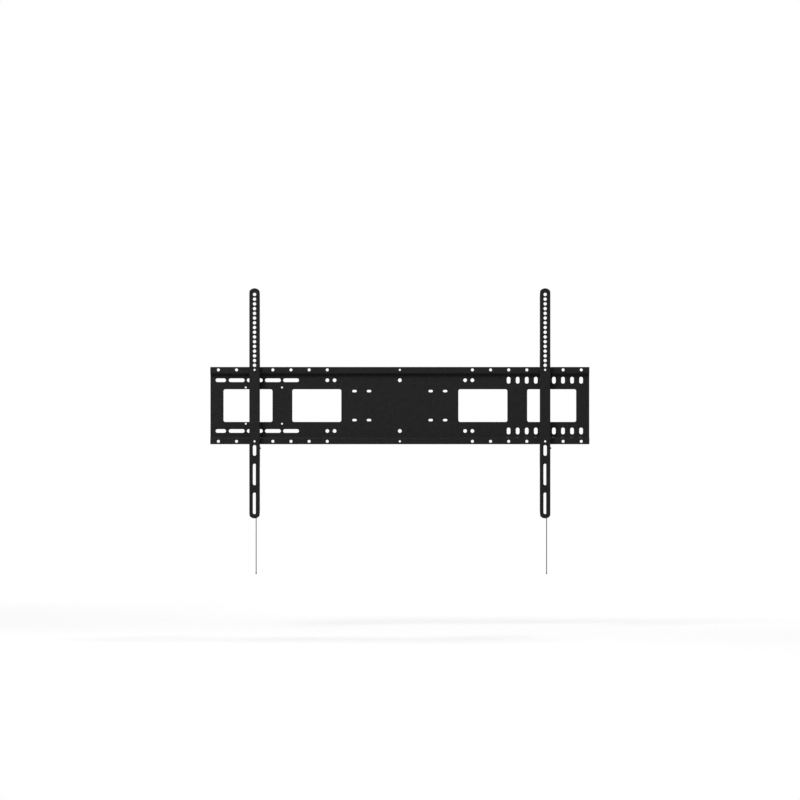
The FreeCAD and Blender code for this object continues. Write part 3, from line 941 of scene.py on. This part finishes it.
@dataclass
class WallPlate:
    """The folded plate on the wall: a web, two shelves and two rails that the arms hook on."""

    gauge: float = 2.5
    bend: float = 2.0
    web_clear: float = 174.0
    end_round: float = 1.2
    # Windows, slots and holes of the web, in rows above and below its middle
    windows: tuple[float, ...] = (-418.75, -229.0, 229.0, 418.75)
    window_size: tuple[float, float] = (135.0, 90.0)
    window_round: float = 5.0
    bolt_row: float = 70.0
    bolt_width: float = 10.0
    bolt_holes: tuple[float, ...] = (-200.0, -180.0, 0.0, 180.0, 200.0)
    lying_slots: Row = Row(-450.0, 50.0, 4)
    lying_length: float = 43.5
    end_slot: float = -493.75
    end_length: float = 28.5
    upright_slots: Row = Row(300.0, 25.0, 9)
    upright_length: float = 18.5
    tie_slots: tuple[float, ...] = (-125.0, -85.0, 85.0, 125.0)
    tie_row: float = 40.0
    tie_size: tuple[float, float] = (12.0, 6.5)
    box_holes: tuple[float, ...] = (-425.0, -325.0)
    box_row: float = 50.0
    box_width: float = 5.0
    # Holes of the rails
    rail_holes: Row = Row(200.0, 50.0, 7)
    rail_row: float = 98.5
    rail_width: float = 8.0
    mid_width: float = 5.5
    # Where the bends are divided along the plate
    end_columns: tuple[float, ...] = (1.5, 3.0, 6.0)
    column_inset: float = 12.0
    column_count: int = 27
    box: Extent = field(init=False)

    def __post_init__(self) -> None:
        """Read the plate's box from the frame."""
        self.box = Extent.of("wall_plate")

    @cached_property
    def path(self) -> FoldPath:
        """Draw the plate's section.

        Returns:
            The path along the back of the sheet, from the lower rail's edge to the upper rail's.
        """
        inner, outer = self.bend, self.bend + self.gauge
        rail_back = self.box.front - self.gauge
        rail = Run((self.box.height - self.web_clear) / 2 - outer)
        shelf = Run(rail_back - inner - outer)
        web = Run(self.web_clear - 2 * inner)
        away = bent_run(-90.0, inner, self.gauge, outside=False)
        towards = bent_run(90.0, inner, self.gauge)
        runs = (rail, away, shelf, towards, web, towards, shelf, away, rail)
        return FoldPath((-rail_back, self.box.bottom), 90.0, runs)

    def holes(self) -> list[Array]:
        """List the blank's windows, slots and holes.

        Returns:
            One loop of points for each.
        """
        middle, bolt = self.path.length / 2, self.bolt_width
        rail = middle + self.rail_row - self.box.top
        levels = (self.bolt_row, self.tie_row, self.box_row, rail)
        bolts, ties, boxes, rails = ((middle - level, middle + level) for level in levels)
        rows = (self.lying_slots, self.upright_slots, self.rail_holes)
        lying, upright, tapped = (row.places for row in rows)
        loops = [box_loop(x, middle, *self.window_size, self.window_round) for x in self.windows]
        loops += [slot_loop(x, y, self.lying_length, bolt) for x in lying for y in bolts]
        loops += [slot_loop(self.end_slot, y, self.end_length, bolt) for y in bolts]
        loops += [slot_loop(x, y, self.upright_length, bolt, True) for x in upright for y in bolts]
        loops += [ring_loop(x, y, bolt) for x in self.bolt_holes for y in bolts]
        loops += [slot_loop(x, y, *self.tie_size) for x in self.tie_slots for y in ties]
        loops += [ring_loop(x, y, self.box_width) for x in self.box_holes for y in boxes]
        loops += [ring_loop(x, y, self.rail_width) for x in (*-tapped, *tapped) for y in rails]
        loops += [ring_loop(0.0, y, self.mid_width) for y in rails]
        return loops

    def build(self, bench: Bench) -> None:
        """Make the plate, its bends divided most near the ends, and seat it on the wall.

        Args:
            bench: Where the piece is seated.
        """
        length = self.path.length
        outline = box_loop(0.0, length / 2, self.box.width, length, self.end_round)
        inner = self.box.right - self.column_inset
        outer = self.box.right - np.array(self.end_columns)
        columns = np.concatenate([-outer, np.linspace(-inner, inner, self.column_count), outer[::-1]])
        axes = (Axis.ACROSS, Axis.DEEP, Axis.UP)
        sheet = FoldedSheet(self.path, self.gauge, axes, outline, self.holes(), columns)
        bench.seat(sheet.surface(), "punched_wall_plate", "wall_plate", "plate")


# Arms


@dataclass
class Arm:
    """A channel open to the wall, with a hook for the upper rail and a lug for the latch spring."""

    side: Side
    gauge: float = 2.5
    bend: float = 1.5
    # Round ends of the web
    tongue_radius: float = 17.0
    tongue_side: float = 14.2
    tongue_steps: int = 25
    # Rear edges of the flanges, by height and by depth from the wall
    flange_inset: float = 12.0
    flange_slope: float = 11.0
    flange_back: float = 20.0
    grip_front: float = 18.4
    grip_back: float = 15.1
    hook_slope_top: float = 152.0
    hook_top: float = 134.0
    hook_tip: float = 92.5
    foot_top: float = -109.5
    foot_bottom: float = -158.0
    foot_slope_bottom: float = -176.0
    corner: float = 3.0
    knee: float = 8.0
    nick: float = 0.6
    # Holes of the web
    screw_width: float = 9.0
    screws: Row = Row(306.0, -13.0, 16)
    lock_width: float = 5.5
    lock_rows: tuple[float, ...] = (-98.5, 98.5)
    slots: tuple[tuple[float, float], ...] = ((-123.35, 29.5), (-189.5, 59.0), (-269.0, 59.0))
    # Pin holes, and the lug with the cut that frees it
    pin_places: tuple[float, ...] = (-117.2, -90.0)
    pin_width: float = 3.6
    lug_width: float = 7.0
    lug_reach: float = 4.8
    lug_round: float = 1.2
    slit: float = 0.1
    slit_round: float = 0.045
    lance_bottom: float = -154.7
    lance_round: float = 0.5
    # Boss inside the spring
    boss_radius: float = 1.6
    boss_height: float = 1.4
    boss_root: float = 0.5
    boss_rounds: tuple[float, float] = (0.1, 0.6)
    # Where the bends are divided along the arm
    end_first: float = 1.0
    end_pitch: float = 1.5
    end_reach: float = 25.0
    column_count: int = 20
    x: float = field(init=False)
    box: Extent = field(init=False)
    spring: Extent = field(init=False)
    cord: Extent = field(init=False)

    def __post_init__(self) -> None:
        """Read the arm's place along the plate, and its box, its spring's and its cord's, from the frame."""
        self.x = Extent.of(self.side.node("arm")).x
        nodes = (self.side.node(piece) for piece in ("arm", "latch_spring", "pull_cord"))
        self.box, self.spring, self.cord = (Extent.of(node, self.x) for node in nodes)

    @cached_property
    def path(self) -> FoldPath:
        """Draw the arm's section.

        Returns:
            The path along the outside of the sheet, from the left flange's rear edge to the right one's.
        """
        fold = bent_run(90.0, self.bend, self.gauge)
        flange = Run(self.box.front - self.box.back - fold.radius)
        web = Run(self.box.width - 2 * fold.radius)
        return FoldPath((self.box.left, -self.box.back), -90.0, (flange, fold, web, fold, flange))

    def outline(self) -> Array:
        """Lay the arm's outline out flat.

        The round ends are given by their places across the arm, which go on round the bend as the arc
        sine of the overhang divided by the bend's radius. The flanges are given by their depths.

        Returns:
            The blank's outline, one half and its mirror image.
        """
        _, fold, web = self.path.runs[:3]
        length = self.path.length
        rail_top = Extent.of("wall_plate").top

        def over(x: Array) -> Array:
            """Return the blank's place for a place across the arm."""
            curl = np.arcsin(np.clip((x - web.length / 2) / fold.radius, 0, 1)) / QUARTER * fold.length
            return np.minimum(x, web.length / 2) + curl + length / 2

        def rear(depth: float) -> float:
            """Return the blank's place for a depth on the right flange."""
            return length - depth + self.box.back

        x = np.linspace(0.0, self.tongue_side, self.tongue_steps)
        rise = np.sqrt(self.tongue_radius**2 - x**2) - self.tongue_radius
        crown = np.column_stack([self.box.top + rise, over(x)])
        foot = np.column_stack([self.box.bottom - rise, over(x)])[::-1]
        first, last = self.box.top - self.flange_inset, self.box.bottom + self.flange_inset
        side, back, heel = crown[-1, 1], rear(self.flange_back), rear(self.box.back)
        edge = rounded([
            (first, side, 0.0),
            (first - self.flange_slope, back, self.corner),
            (self.hook_slope_top, back, self.knee),
            (self.hook_top, heel, self.corner),
            (self.hook_tip, heel, self.corner),
            (self.hook_tip, rear(self.grip_back), self.corner),
            (rail_top, rear(self.grip_back), self.nick),
            (rail_top, rear(self.grip_front), self.nick),
            (self.foot_top, rear(self.grip_front), self.nick),
            (self.foot_top, heel, self.corner),
            (self.foot_bottom, heel, self.corner),
            (self.foot_slope_bottom, back, self.knee),
            (last + self.flange_slope, back, self.corner),
            (last, side, 0.0),
        ], closed=False)
        right = np.vstack([crown, edge, foot])
        left = right[-2:0:-1] * (1.0, -1.0) + (0.0, length)
        return np.vstack([right, left])

    @cached_property
    def lug(self) -> Lug:
        """Describe the lug that the latch spring stands on, bent in from the right flange.

        Returns:
            The lug's strip of the blank and its own fold.
        """
        fold = bent_run(-90.0, self.bend, self.gauge)
        root = self.spring.bottom + self.bend
        tip = Run(self.box.right - fold.radius - self.lug_reach)
        middle = self.path.length - self.cord.depth + self.box.back
        half = (self.lug_width - self.slit) / 2
        return Lug(root, middle, half, FoldPath((self.box.right, root), -90.0, (fold, tip), -1.0))

    def lance(self) -> Array:
        """Cut round the lug, and divide its sides where it bends.

        Returns:
            A loop like a U, with a slit along each side of the lug and a window beyond its tip.
        """
        line, root, tip = self.lug.middle, self.lug.root, self.lug.root - self.lug.path.length
        outer, inner = self.lug_width / 2, self.lug_width / 2 - self.slit
        loop = rounded([
            (self.lance_bottom, line - outer, self.lance_round),
            (self.lance_bottom, line + outer, self.lance_round),
            (root, line + outer, self.slit_round),
            (root, line + inner, self.slit_round),
            (tip, line + inner, self.lug_round),
            (tip, line - inner, self.lug_round),
            (root, line - inner, self.slit_round),
            (root, line - outer, self.slit_round),
        ])
        return divided(loop, 0, self.lug.bend_lines())

    def holes(self) -> list[Array]:
        """List the blank's holes.

        Returns:
            Loops of the web's screw holes, lock holes and slots, and of the flange's pin holes and lance.
        """
        middle = self.path.length / 2
        loops = [ring_loop(z, middle, self.screw_width) for z in self.screws.places]
        loops += [ring_loop(z, middle, self.lock_width) for z in self.lock_rows]
        loops += [slot_loop(z, middle, length, self.screw_width) for z, length in self.slots]
        loops += [ring_loop(z, self.lug.middle, self.pin_width) for z in self.pin_places]
        return [*loops, self.lance()]

    def boss(self) -> Surface:
        """Turn the low round boss that keeps the spring in place, rooted in the lug.

        Returns:
            The boss, at the foot of the spring.
        """
        radius, root, top = self.boss_radius, -self.boss_root, self.boss_height
        low, high = self.boss_rounds
        corners = [(root, 0.0, 0.0), (root, radius, low), (top, radius, high), (top, 0.0, 0.0)]
        dome = Turned(rounded(corners, closed=False), Axis.UP).surface()
        return dome.shifted(self.spring.x, -self.cord.depth, self.spring.bottom)

    def build(self, bench: Bench) -> None:
        """Make the arm, its bends divided most near the round ends, and seat it on its rails.

        Args:
            bench: Where the piece is seated.
        """
        fine = np.arange(self.end_first, self.end_reach, self.end_pitch)
        inner = self.end_reach + self.end_pitch
        coarse = np.linspace(self.box.bottom + inner, self.box.top - inner, self.column_count)
        columns = np.concatenate([self.box.bottom + fine, coarse, self.box.top - fine[::-1]])
        axes, outline = (Axis.UP, Axis.ACROSS, Axis.DEEP), self.outline()
        sheet = FoldedSheet(self.path, self.gauge, axes, outline, self.holes(), columns, self.lug)
        whole = Surface.joined([sheet.surface(), self.boss()]).shifted(self.x)
        bench.seat(whole, self.side.node("hook_arm"), self.side.node("arm"), self.side.node("arm_body"))


# Latches


@dataclass
class Latch:
    """The sliding plate beside an arm's right flange, with its guide pins, clips and spring."""

    arm: Arm
    gauge: float = 2.0
    rim: float = 0.3
    # Outline, by height and by depth from the wall
    neck: float = 20.0
    heel: float = 18.0
    fork: float = -109.5
    nose_front: float = 14.9
    nose_flat: float = 13.3
    nose_top: float = -99.5
    nose_ramp: float = -106.5
    nose_root: float = -120.0
    heel_top: float = -134.0
    heel_bottom: float = -150.0
    shoulder: float = -153.0
    corner: float = 2.0
    fork_round: float = 0.8
    nose_round: float = 0.5
    heel_round: float = 3.0
    shoulder_round: float = 1.0
    step_round: float = 0.6
    # Cord tab
    tab_width: float = 10.0
    tab_bend: float = 0.7
    tab_inset: float = 1.0
    tab_columns: int = 9
    cord_hole: float = 2.9
    # Guide slots, and the spring's window with its tongue
    slot_width: float = 3.8
    travel: float = 10.0
    seat_width: float = 7.0
    seat_bottom: float = -149.5
    seat_rounds: tuple[float, float] = (0.8, 0.4)
    tongue_width: float = 2.4
    tongue_tip: float = -129.0
    tongue_rounds: tuple[float, float] = (0.3, 0.6)
    # Pins
    pin_radius: float = 1.75
    pin_step: float = 3.2
    pin_head: float = 2.75
    pin_end_round: float = 0.4
    pin_edge: float = 0.25
    pin_fillet: float = 0.1
    pin_seat: float = 0.05
    dome: float = 1.8
    pin_sides: int = 32
    pin_steps: int = 4
    # Clips
    clip_radius: float = 3.9
    clip_rim: float = 0.12
    clip_prongs: int = 6
    clip_gap: float = 0.7
    clip_sides: int = 96
    clip_steps: int = 3
    # Spring
    wire: float = 0.9
    wire_sides: int = 14
    turn_steps: int = 40
    active_turns: float = 4.0
    closed_turns: float = 1.0
    line: float = field(init=False)
    box: Extent = field(init=False)
    pin_box: Extent = field(init=False)
    clip_box: Extent = field(init=False)

    def __post_init__(self) -> None:
        """Read the boxes of the latch's pieces from the frame, counted from the arm's middle."""
        nodes = (self.arm.side.node(piece) for piece in ("latch", "guide_pins", "pin_clips"))
        self.box, self.pin_box, self.clip_box = (Extent.of(node, self.arm.x) for node in nodes)
        self.line = self.arm.cord.depth

    @cached_property
    def path(self) -> FoldPath:
        """Draw the sliding plate's section.

        Returns:
            The path along the face beside the flange, down from the head and round under the cord tab.
        """
        fold = bent_run(-90.0, self.tab_bend, self.gauge)
        blade = Run(self.box.height - fold.radius)
        tab = Run(self.box.width - fold.radius)
        return FoldPath((self.box.right, self.box.top), -90.0, (blade, fold, tab), -1.0)

    def laid(self, corners: Sequence[Corner]) -> Array:
        """Lay corners given by depth, height and radius out on the blank, and round them."""
        return rounded([(-depth, self.box.top - height, radius) for depth, height, radius in corners])

    def outline(self) -> Array:
        """Lay the sliding plate's outline out flat, with a hooked nose and a tab past the bend.

        Returns:
            The blank's outline.
        """
        rear, front = self.line - self.tab_width / 2, self.line + self.tab_width / 2
        tab_end = self.box.top - self.path.length
        return self.laid([
            (self.box.front, self.box.top, self.corner),
            (self.neck, self.box.top, self.corner),
            (self.neck, self.fork, self.fork_round),
            (self.nose_front, self.fork, self.fork_round),
            (self.nose_front, self.nose_top, self.nose_round),
            (self.nose_flat, self.nose_top, self.nose_round),
            (self.box.back, self.nose_ramp, self.fork_round),
            (self.box.back, self.nose_root, self.corner),
            (self.heel, self.heel_top, self.heel_round),
            (self.heel, self.heel_bottom, self.shoulder_round),
            (rear, self.shoulder, self.step_round),
            (rear, tab_end, self.corner),
            (front, tab_end, self.corner),
            (front, self.shoulder, self.step_round),
            (self.box.front, self.heel_bottom, self.shoulder_round),
        ])

    def window(self) -> Array:
        """Lay out the window that the spring sits in.

        Returns:
            A loop with a tongue that hangs from its top edge into the spring.
        """
        seat, tongue, top = self.seat_width / 2, self.tongue_width / 2, self.arm.spring.top
        low, high = self.seat_rounds
        root, tip = self.tongue_rounds
        half = [
            (seat, self.seat_bottom, low),
            (seat, top, high),
            (tongue, top, root),
            (tongue, self.tongue_tip, tip),
        ]
        rear = [(self.line - aside, height, radius) for aside, height, radius in half]
        front = [(self.line + aside, height, radius) for aside, height, radius in half]
        return self.laid(rear + front[::-1])

    def plate(self) -> Surface:
        """Cut and fold the sliding plate.

        Returns:
            The plate with its guide slots, its spring's window and the cord's hole.
        """
        line = -self.line
        size = (self.travel + self.slot_width, self.slot_width)
        middles = [self.box.top - z - self.travel / 2 for z in self.arm.pin_places]
        guides = [slot_loop(line, middle, *size, upright=True) for middle in middles]
        hole = ring_loop(line, self.path.length + self.box.left - self.arm.cord.x, self.cord_hole)
        reach = self.tab_width / 2 - self.tab_inset
        columns = line + np.linspace(-reach, reach, self.tab_columns)
        axes, holes = (Axis.DEEP, Axis.ACROSS, Axis.UP), [self.window(), *guides, hole]
        sheet = FoldedSheet(self.path, self.gauge, axes, self.outline(), holes, columns, rim=self.rim)
        return sheet.surface()

    def repeated(self, piece: Surface) -> Surface:
        """Set a piece of a pin at each of the pins' places."""
        return Surface.joined([piece.shifted(0.0, -self.line, z) for z in self.arm.pin_places])

    def pins(self) -> Surface:
        """Turn the stepped guide pins.

        Returns:
            Two pins, whose domed heads rise as the sine and close as the cosine of a quarter turn.
        """
        outside, inside = self.arm.box.right, self.arm.box.right - self.arm.gauge
        slide_gap = self.box.right - self.gauge - self.clip_box.right
        step_start, crown = self.box.right + slide_gap, self.pin_box.right - self.dome
        cosine, sine = direction(np.linspace(0, QUARTER, ARC_STEPS + 1)).T
        dome = np.column_stack([crown + self.dome * sine, self.pin_head * cosine])
        dome[-1, 1] = 0.0
        stem = rounded([
            (self.pin_box.left, 0.0, 0.0),
            (self.pin_box.left, self.pin_radius, self.pin_end_round),
            (step_start, self.pin_radius, self.pin_fillet),
            (step_start, self.pin_step, self.pin_edge),
            (inside, self.pin_step, self.pin_fillet),
            (inside, self.pin_radius, self.pin_seat),
            (outside, self.pin_radius, self.pin_seat),
            (outside, self.pin_head, self.pin_edge),
            (crown, self.pin_head, 0.0),
        ], closed=False, steps=self.pin_steps)
        outline = np.vstack([stem[:-1], dome])
        return self.repeated(Turned(outline, Axis.ACROSS, steps=self.pin_sides).surface())

    def clips(self) -> Surface:
        """Press the push-on clips.

        Returns:
            Two thin rings with prongs that grip the pins.
        """
        inner, outer = self.clip_box.left, self.clip_box.right
        bore, edge, rim = self.pin_radius, self.clip_radius, self.clip_rim
        corners = [(inner, bore, rim), (outer, bore, rim), (outer, edge, rim), (inner, edge, rim)]
        section = rounded(corners, steps=self.clip_steps)
        ring = Turned(section, Axis.ACROSS, True, self.clip_sides, self.clip_prongs, self.clip_gap)
        return self.repeated(ring.surface())

    def spring(self) -> Surface:
        """Wind the spring between the lug and the top of its window.

        Returns:
            A coil whose height rises by one wire a turn in the closed ends and evenly in between.
        """
        box = self.arm.spring
        low, high = box.bottom + self.wire / 2, box.top - self.wire / 2
        closed = self.closed_turns * self.wire
        turns = np.cumsum([0.0, self.closed_turns, self.active_turns, self.closed_turns])
        place = np.linspace(0, turns[-1], int(turns[-1] * self.turn_steps) + 1)
        height = np.interp(place, turns, [low, low + closed, high - closed, high])
        coil = (box.width - self.wire) / 2 * direction(place * 2 * np.pi) + (box.x, -self.line)
        radius = np.full((len(place), self.wire_sides), self.wire / 2)
        return Tube(np.column_stack([coil, height]), radius, (0.0, 0.0, 1.0)).surface()

    def build(self, bench: Bench) -> None:
        """Make the latch's pieces, and give the spring a mesh of its own.

        Args:
            bench: Where the pieces are seated.
        """
        side, x, box = self.arm.side, self.arm.x, self.arm.spring
        arm, latch = side.node("arm_body"), side.node("latch_body")
        bench.seat(self.plate().shifted(x), side.node("sliding_latch"), side.node("latch"), latch)
        bench.seat(self.pins().shifted(x), side.node("domed_pins"), side.node("guide_pins"), arm)
        bench.seat(self.clips().shifted(x), side.node("push_on_clips"), side.node("pin_clips"), arm)
        coil = self.spring().shifted(x)
        spring = bench.seat(coil, side.node("coil_spring"), side.node("latch_spring"), arm)
        side.node("latch_pull")
        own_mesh(spring)


# Pull cords


@dataclass
class PullCord:
    """A braided cord that hangs from a latch's tab, with a stop above the tab and a bead at its end.

    stop_barrel and bead_skirt are the first and last shares of the height that the curved side takes
    up, and how many points it has.
    """

    side: Side
    lead: float = 6.0
    strands: int = 4
    lay_length: float = 9.0
    relief: float = 0.30
    dip: float = 0.5
    columns: int = 32
    divisions: int = 500
    end_radius: float = 1.8
    stop_barrel: tuple[float, float, int] = (0.1, 0.9, 21)
    stop_rounds: tuple[float, float] = (0.35, 0.35)
    stop_steps: int = 4
    pinch: float = 0.28
    pinch_width: float = 0.16
    bead_skirt: tuple[float, float, int] = (0.2, 0.85, 14)
    bead_rounds: tuple[float, float] = (0.6, 0.4)
    bead_steps: int = 5
    bead_taper: float = 0.45
    box: Extent = field(init=False)
    stop_box: Extent = field(init=False)
    bead_box: Extent = field(init=False)

    def __post_init__(self) -> None:
        """Read the boxes of the cord, its stop and its bead from the frame."""
        nodes = (self.side.node(piece) for piece in ("pull_cord", "cord_stop", "cord_bead"))
        self.box, self.stop_box, self.bead_box = (Extent.of(node) for node in nodes)

    def route(self) -> Array:
        """Draw the cord's line as a smooth spline and read its points.

        The cord hangs straight: its route has the tab's hole, a point six diameters below it, one as
        far above the bead, and the bead.

        Returns:
            The spline's points.
        """
        lead = self.lead * self.box.width
        heights = (self.box.top, self.box.top - lead, self.box.bottom + lead, self.box.bottom)
        curve = bpy.data.curves.new("cord_route", "CURVE")
        curve.dimensions = "3D"
        spline = curve.splines.new("NURBS")
        spline.points.add(len(heights) - 1)
        for point, height in zip(spline.points, heights):
            point.co = (self.box.x, -self.box.depth, height, 1.0)
        spline.order_u = 3
        spline.use_endpoint_u = True
        spline.resolution_u = self.divisions
        holder = bpy.data.objects.new("cord_route", curve)
        mesh = bpy.data.meshes.new_from_object(holder)
        points = np.zeros(len(mesh.vertices) * 3)
        mesh.vertices.foreach_get("co", points)
        bpy.data.objects.remove(holder)
        bpy.data.curves.remove(curve)
        bpy.data.meshes.remove(mesh)
        return points.reshape(-1, 3)

    def braid(self, line: Array) -> Surface:
        """Braid the cord along its line.

        Two sets of strands wind opposite ways. A strand's height is the root of the cosine across it,
        so it is full at its middle and falls off steeply beside the next one. It dips and rises with
        the cosine of the angle round the cord, as it passes under and over those of the other set.

        Args:
            line: Points along the cord.

        Returns:
            The braided surface.
        """
        run = np.linalg.norm(line - line[0], axis=1)[:, None]
        angle = full_turn(self.columns)[None]
        wind = 2 * np.pi * run / self.lay_length
        one, other = self.strands * (angle + wind), self.strands * (angle - wind)
        over = 0.5 + 0.5 * np.cos(self.strands * angle)
        first = np.sqrt(np.abs(np.cos(one / 2))) * (1.0 - self.dip * (1 - over))
        second = np.sqrt(np.abs(np.cos(other / 2))) * (1.0 - self.dip * over)
        radius = self.box.width / 2 - self.relief * (1 - np.maximum(first, second))
        return Tube(line, radius, (1.0, 0.0, 0.0)).surface()

    def fitting(
        self, box: Extent, share: Array, radius: Array, rounds: tuple[float, float], steps: int
    ) -> Surface:
        """Turn a piece on the cord, with its foot and its crown rounded.

        Args:
            box: The piece's box.
            share: Places up its curved side, as shares of its height.
            radius: Its radius at each place.
            rounds: The radii of the foot's and the crown's corners.
            steps: Segments in each of these corners.

        Returns:
            The piece at its place on the cord.
        """
        side, top = np.column_stack([share * box.height, radius]), box.height
        foot = [(0.0, 0.0, 0.0), (0.0, self.end_radius, rounds[0]), (*side[0], 0.0)]
        crown = [(*side[-1], 0.0), (top, radius[-1], rounds[1]), (top, 0.0, 0.0)]
        low, high = (rounded(corners, closed=False, steps=steps) for corners in (foot, crown))
        turned = Turned(np.vstack([low[:-1], side, high[1:]]), Axis.UP).surface()
        return turned.shifted(self.box.x, -self.box.depth, box.bottom)

    def stop(self) -> Surface:
        """Turn the crimped stop.

        Returns:
            A short sleeve, pinched at its middle by a bell curve.
        """
        share = np.linspace(*self.stop_barrel)
        pinch = self.pinch * np.exp(-(((share - 0.5) / self.pinch_width) ** 2))
        radius = self.end_radius - pinch
        return self.fitting(self.stop_box, share, radius, self.stop_rounds, self.stop_steps)

    def bead(self) -> Surface:
        """Turn the end bead.

        Returns:
            A bell whose radius falls with the square of the height above its foot.
        """
        share = np.linspace(*self.bead_skirt)
        radius = self.end_radius - self.bead_taper * share**2
        return self.fitting(self.bead_box, share, radius, self.bead_rounds, self.bead_steps)

    def build(self, bench: Bench) -> None:
        """Args:
            bench: Where the pieces are seated.
        """
        side, box, line = self.side, self.box, self.route()
        body = side.node("latch_body")
        cord = bench.seat(self.braid(line), side.node("braided_cord"), side.node("pull_cord"), body)
        ends = [
            bench.seat(self.stop(), side.node("crimped_stop"), side.node("cord_stop"), body),
            bench.seat(self.bead(), side.node("end_bead"), side.node("cord_bead"), body),
        ]


# Studio


@dataclass
class Studio:
    """A pale floor, soft lamps and a long-lens camera straight in front. Sizes are in metres."""

    floor_height: float = -0.62
    floor_reach: float = 40.0
    floor_sides: int = 96
    floor_grain: float = 3.0
    floor_detail: float = 3.0
    floor_rough: tuple[float, float] = (0.88, 0.92)
    fade_start: float = 0.8
    fade_end: float = 3.0
    fade_least: float = 0.25
    white: Colour = (1.0, 1.0, 1.0)
    pale: Colour = (0.86, 0.86, 0.86)
    bounce: Colour = (0.30, 0.30, 0.30)
    fill: float = 0.28
    lens: float = 300.0
    view_width: float = 2.2032
    view_end: float = 200.0
    aim: Place = (0.00044, -0.03, 0.01544)
    lamps: tuple[tuple[Place, float, float], ...] = (
        ((-2.0, -4.0, 2.8), 2.2, 240.0),
        ((3.2, -2.4, 0.8), 1.8, 18.0),
        ((1.4, 3.4, 2.8), 1.8, 150.0),
    )

    def seen(self, desk: NodeDesk) -> Socket:
        """Tell rays that see things from light that falls on them.

        Args:
            desk: The tree to add nodes to.

        Returns:
            1 for rays from the camera, a gloss or a clear thing, and 0 for others.
        """
        path = desk.add("LightPath").outputs
        direct = desk.reckon("MAXIMUM", path["Is Camera Ray"], path["Is Glossy Ray"])
        return desk.reckon("MAXIMUM", direct, path["Is Transmission Ray"])

    def room(self) -> None:
        """Give the room a pale look and a softer even light."""
        world = bpy.data.worlds.new("studio")
        bpy.context.scene.world = world
        world.use_nodes = True
        desk = NodeDesk(world.node_tree)
        strength = desk.spread(self.seen(desk), self.fill, 1.0, 0.0, 1.0)
        desk.feed(world.node_tree.nodes["Background"], Color=self.white, Strength=strength)

    def floor_finish(self) -> bpy.types.Material:
        """Make the floor's finish.

        Returns:
            A matt pale material that fades into the room with distance and is clear from below.
        """
        material = bpy.data.materials.new("floor")
        material.use_nodes = True
        nodes = material.node_tree.nodes
        desk = NodeDesk(material.node_tree)
        matt = desk.spread(desk.noise(self.floor_grain, self.floor_detail), *self.floor_rough)
        tone = desk.blend(self.seen(desk), self.bounce, self.pale)
        lit = desk.feed(nodes["Principled BSDF"], Base_Color=tone, Roughness=matt, Specular_IOR_Level=0.0)
        glow = desk.feed(desk.add("Emission"), Color=self.white)
        distance = desk.add("VectorMath", operation="LENGTH")
        desk.feed(distance, desk.place())
        fade = desk.spread(distance.outputs["Value"], self.fade_least, 1.0, self.fade_start, self.fade_end)
        share = desk.reckon("MULTIPLY", fade, self.seen(desk))
        above = desk.feed(desk.add("MixShader"), share, lit, glow)
        clear = desk.feed(desk.add("BsdfTransparent"))
        under = desk.add("NewGeometry").outputs["Backfacing"]
        surface = desk.feed(desk.add("MixShader"), under, above, clear)
        desk.tree.links.new(surface, nodes["Material Output"].inputs["Surface"])
        return material

    def floor(self) -> None:
        """Lay a wide round floor."""
        rim = ring_loop(0.0, 0.0, 2 * self.floor_reach, self.floor_sides)
        rim = np.column_stack([rim, np.full(self.floor_sides, self.floor_height)])
        mesh = bpy.data.meshes.new("floor")
        mesh.from_pydata(rim.tolist(), [], [list(range(self.floor_sides))])
        mesh.materials.append(self.floor_finish())
        placed("floor", mesh)

    def light(self) -> None:
        """Hang the soft lamps, each turned to the mount."""
        for number, (place, size, power) in enumerate(self.lamps, start=1):
            data = bpy.data.lights.new(f"softbox_{number}", "AREA")
            data.shape = "DISK"
            data.size = size
            data.energy = power
            lamp = placed(data.name, data)
            lamp.location = place
            lamp.rotation_euler = (-Vector(place)).to_track_quat("-Z", "Y").to_euler()

    def camera(self) -> None:
        """Set the camera straight in front, as far off as its lens needs for the view's width."""
        data = bpy.data.cameras.new("camera")
        data.lens = self.lens
        data.clip_end = self.view_end
        away = self.view_width * data.lens / data.sensor_width
        camera = placed("camera", data)
        camera.location = (self.aim[0], self.aim[1] - away, self.aim[2])
        camera.rotation_euler = (QUARTER, 0.0, 0.0)
        bpy.context.scene.camera = camera

    def build(self) -> None:
        """Set up the whole studio."""
        bpy.context.scene.view_settings.view_transform = "Standard"
        self.camera()
        self.room()
        self.floor()
        self.light()


def main() -> None:
    """Build the studio and the mount."""
    logging.basicConfig(level=logging.INFO, format="%(message)s")
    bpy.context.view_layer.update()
    Studio().build()
    bench = Bench()
    for side in Side:
        PullCord(side).build(bench)
    WallPlate().build(bench)
    for arm in map(Arm, Side):
        arm.build(bench)
        Latch(arm).build(bench)


if __name__ == "__main__":
    main()
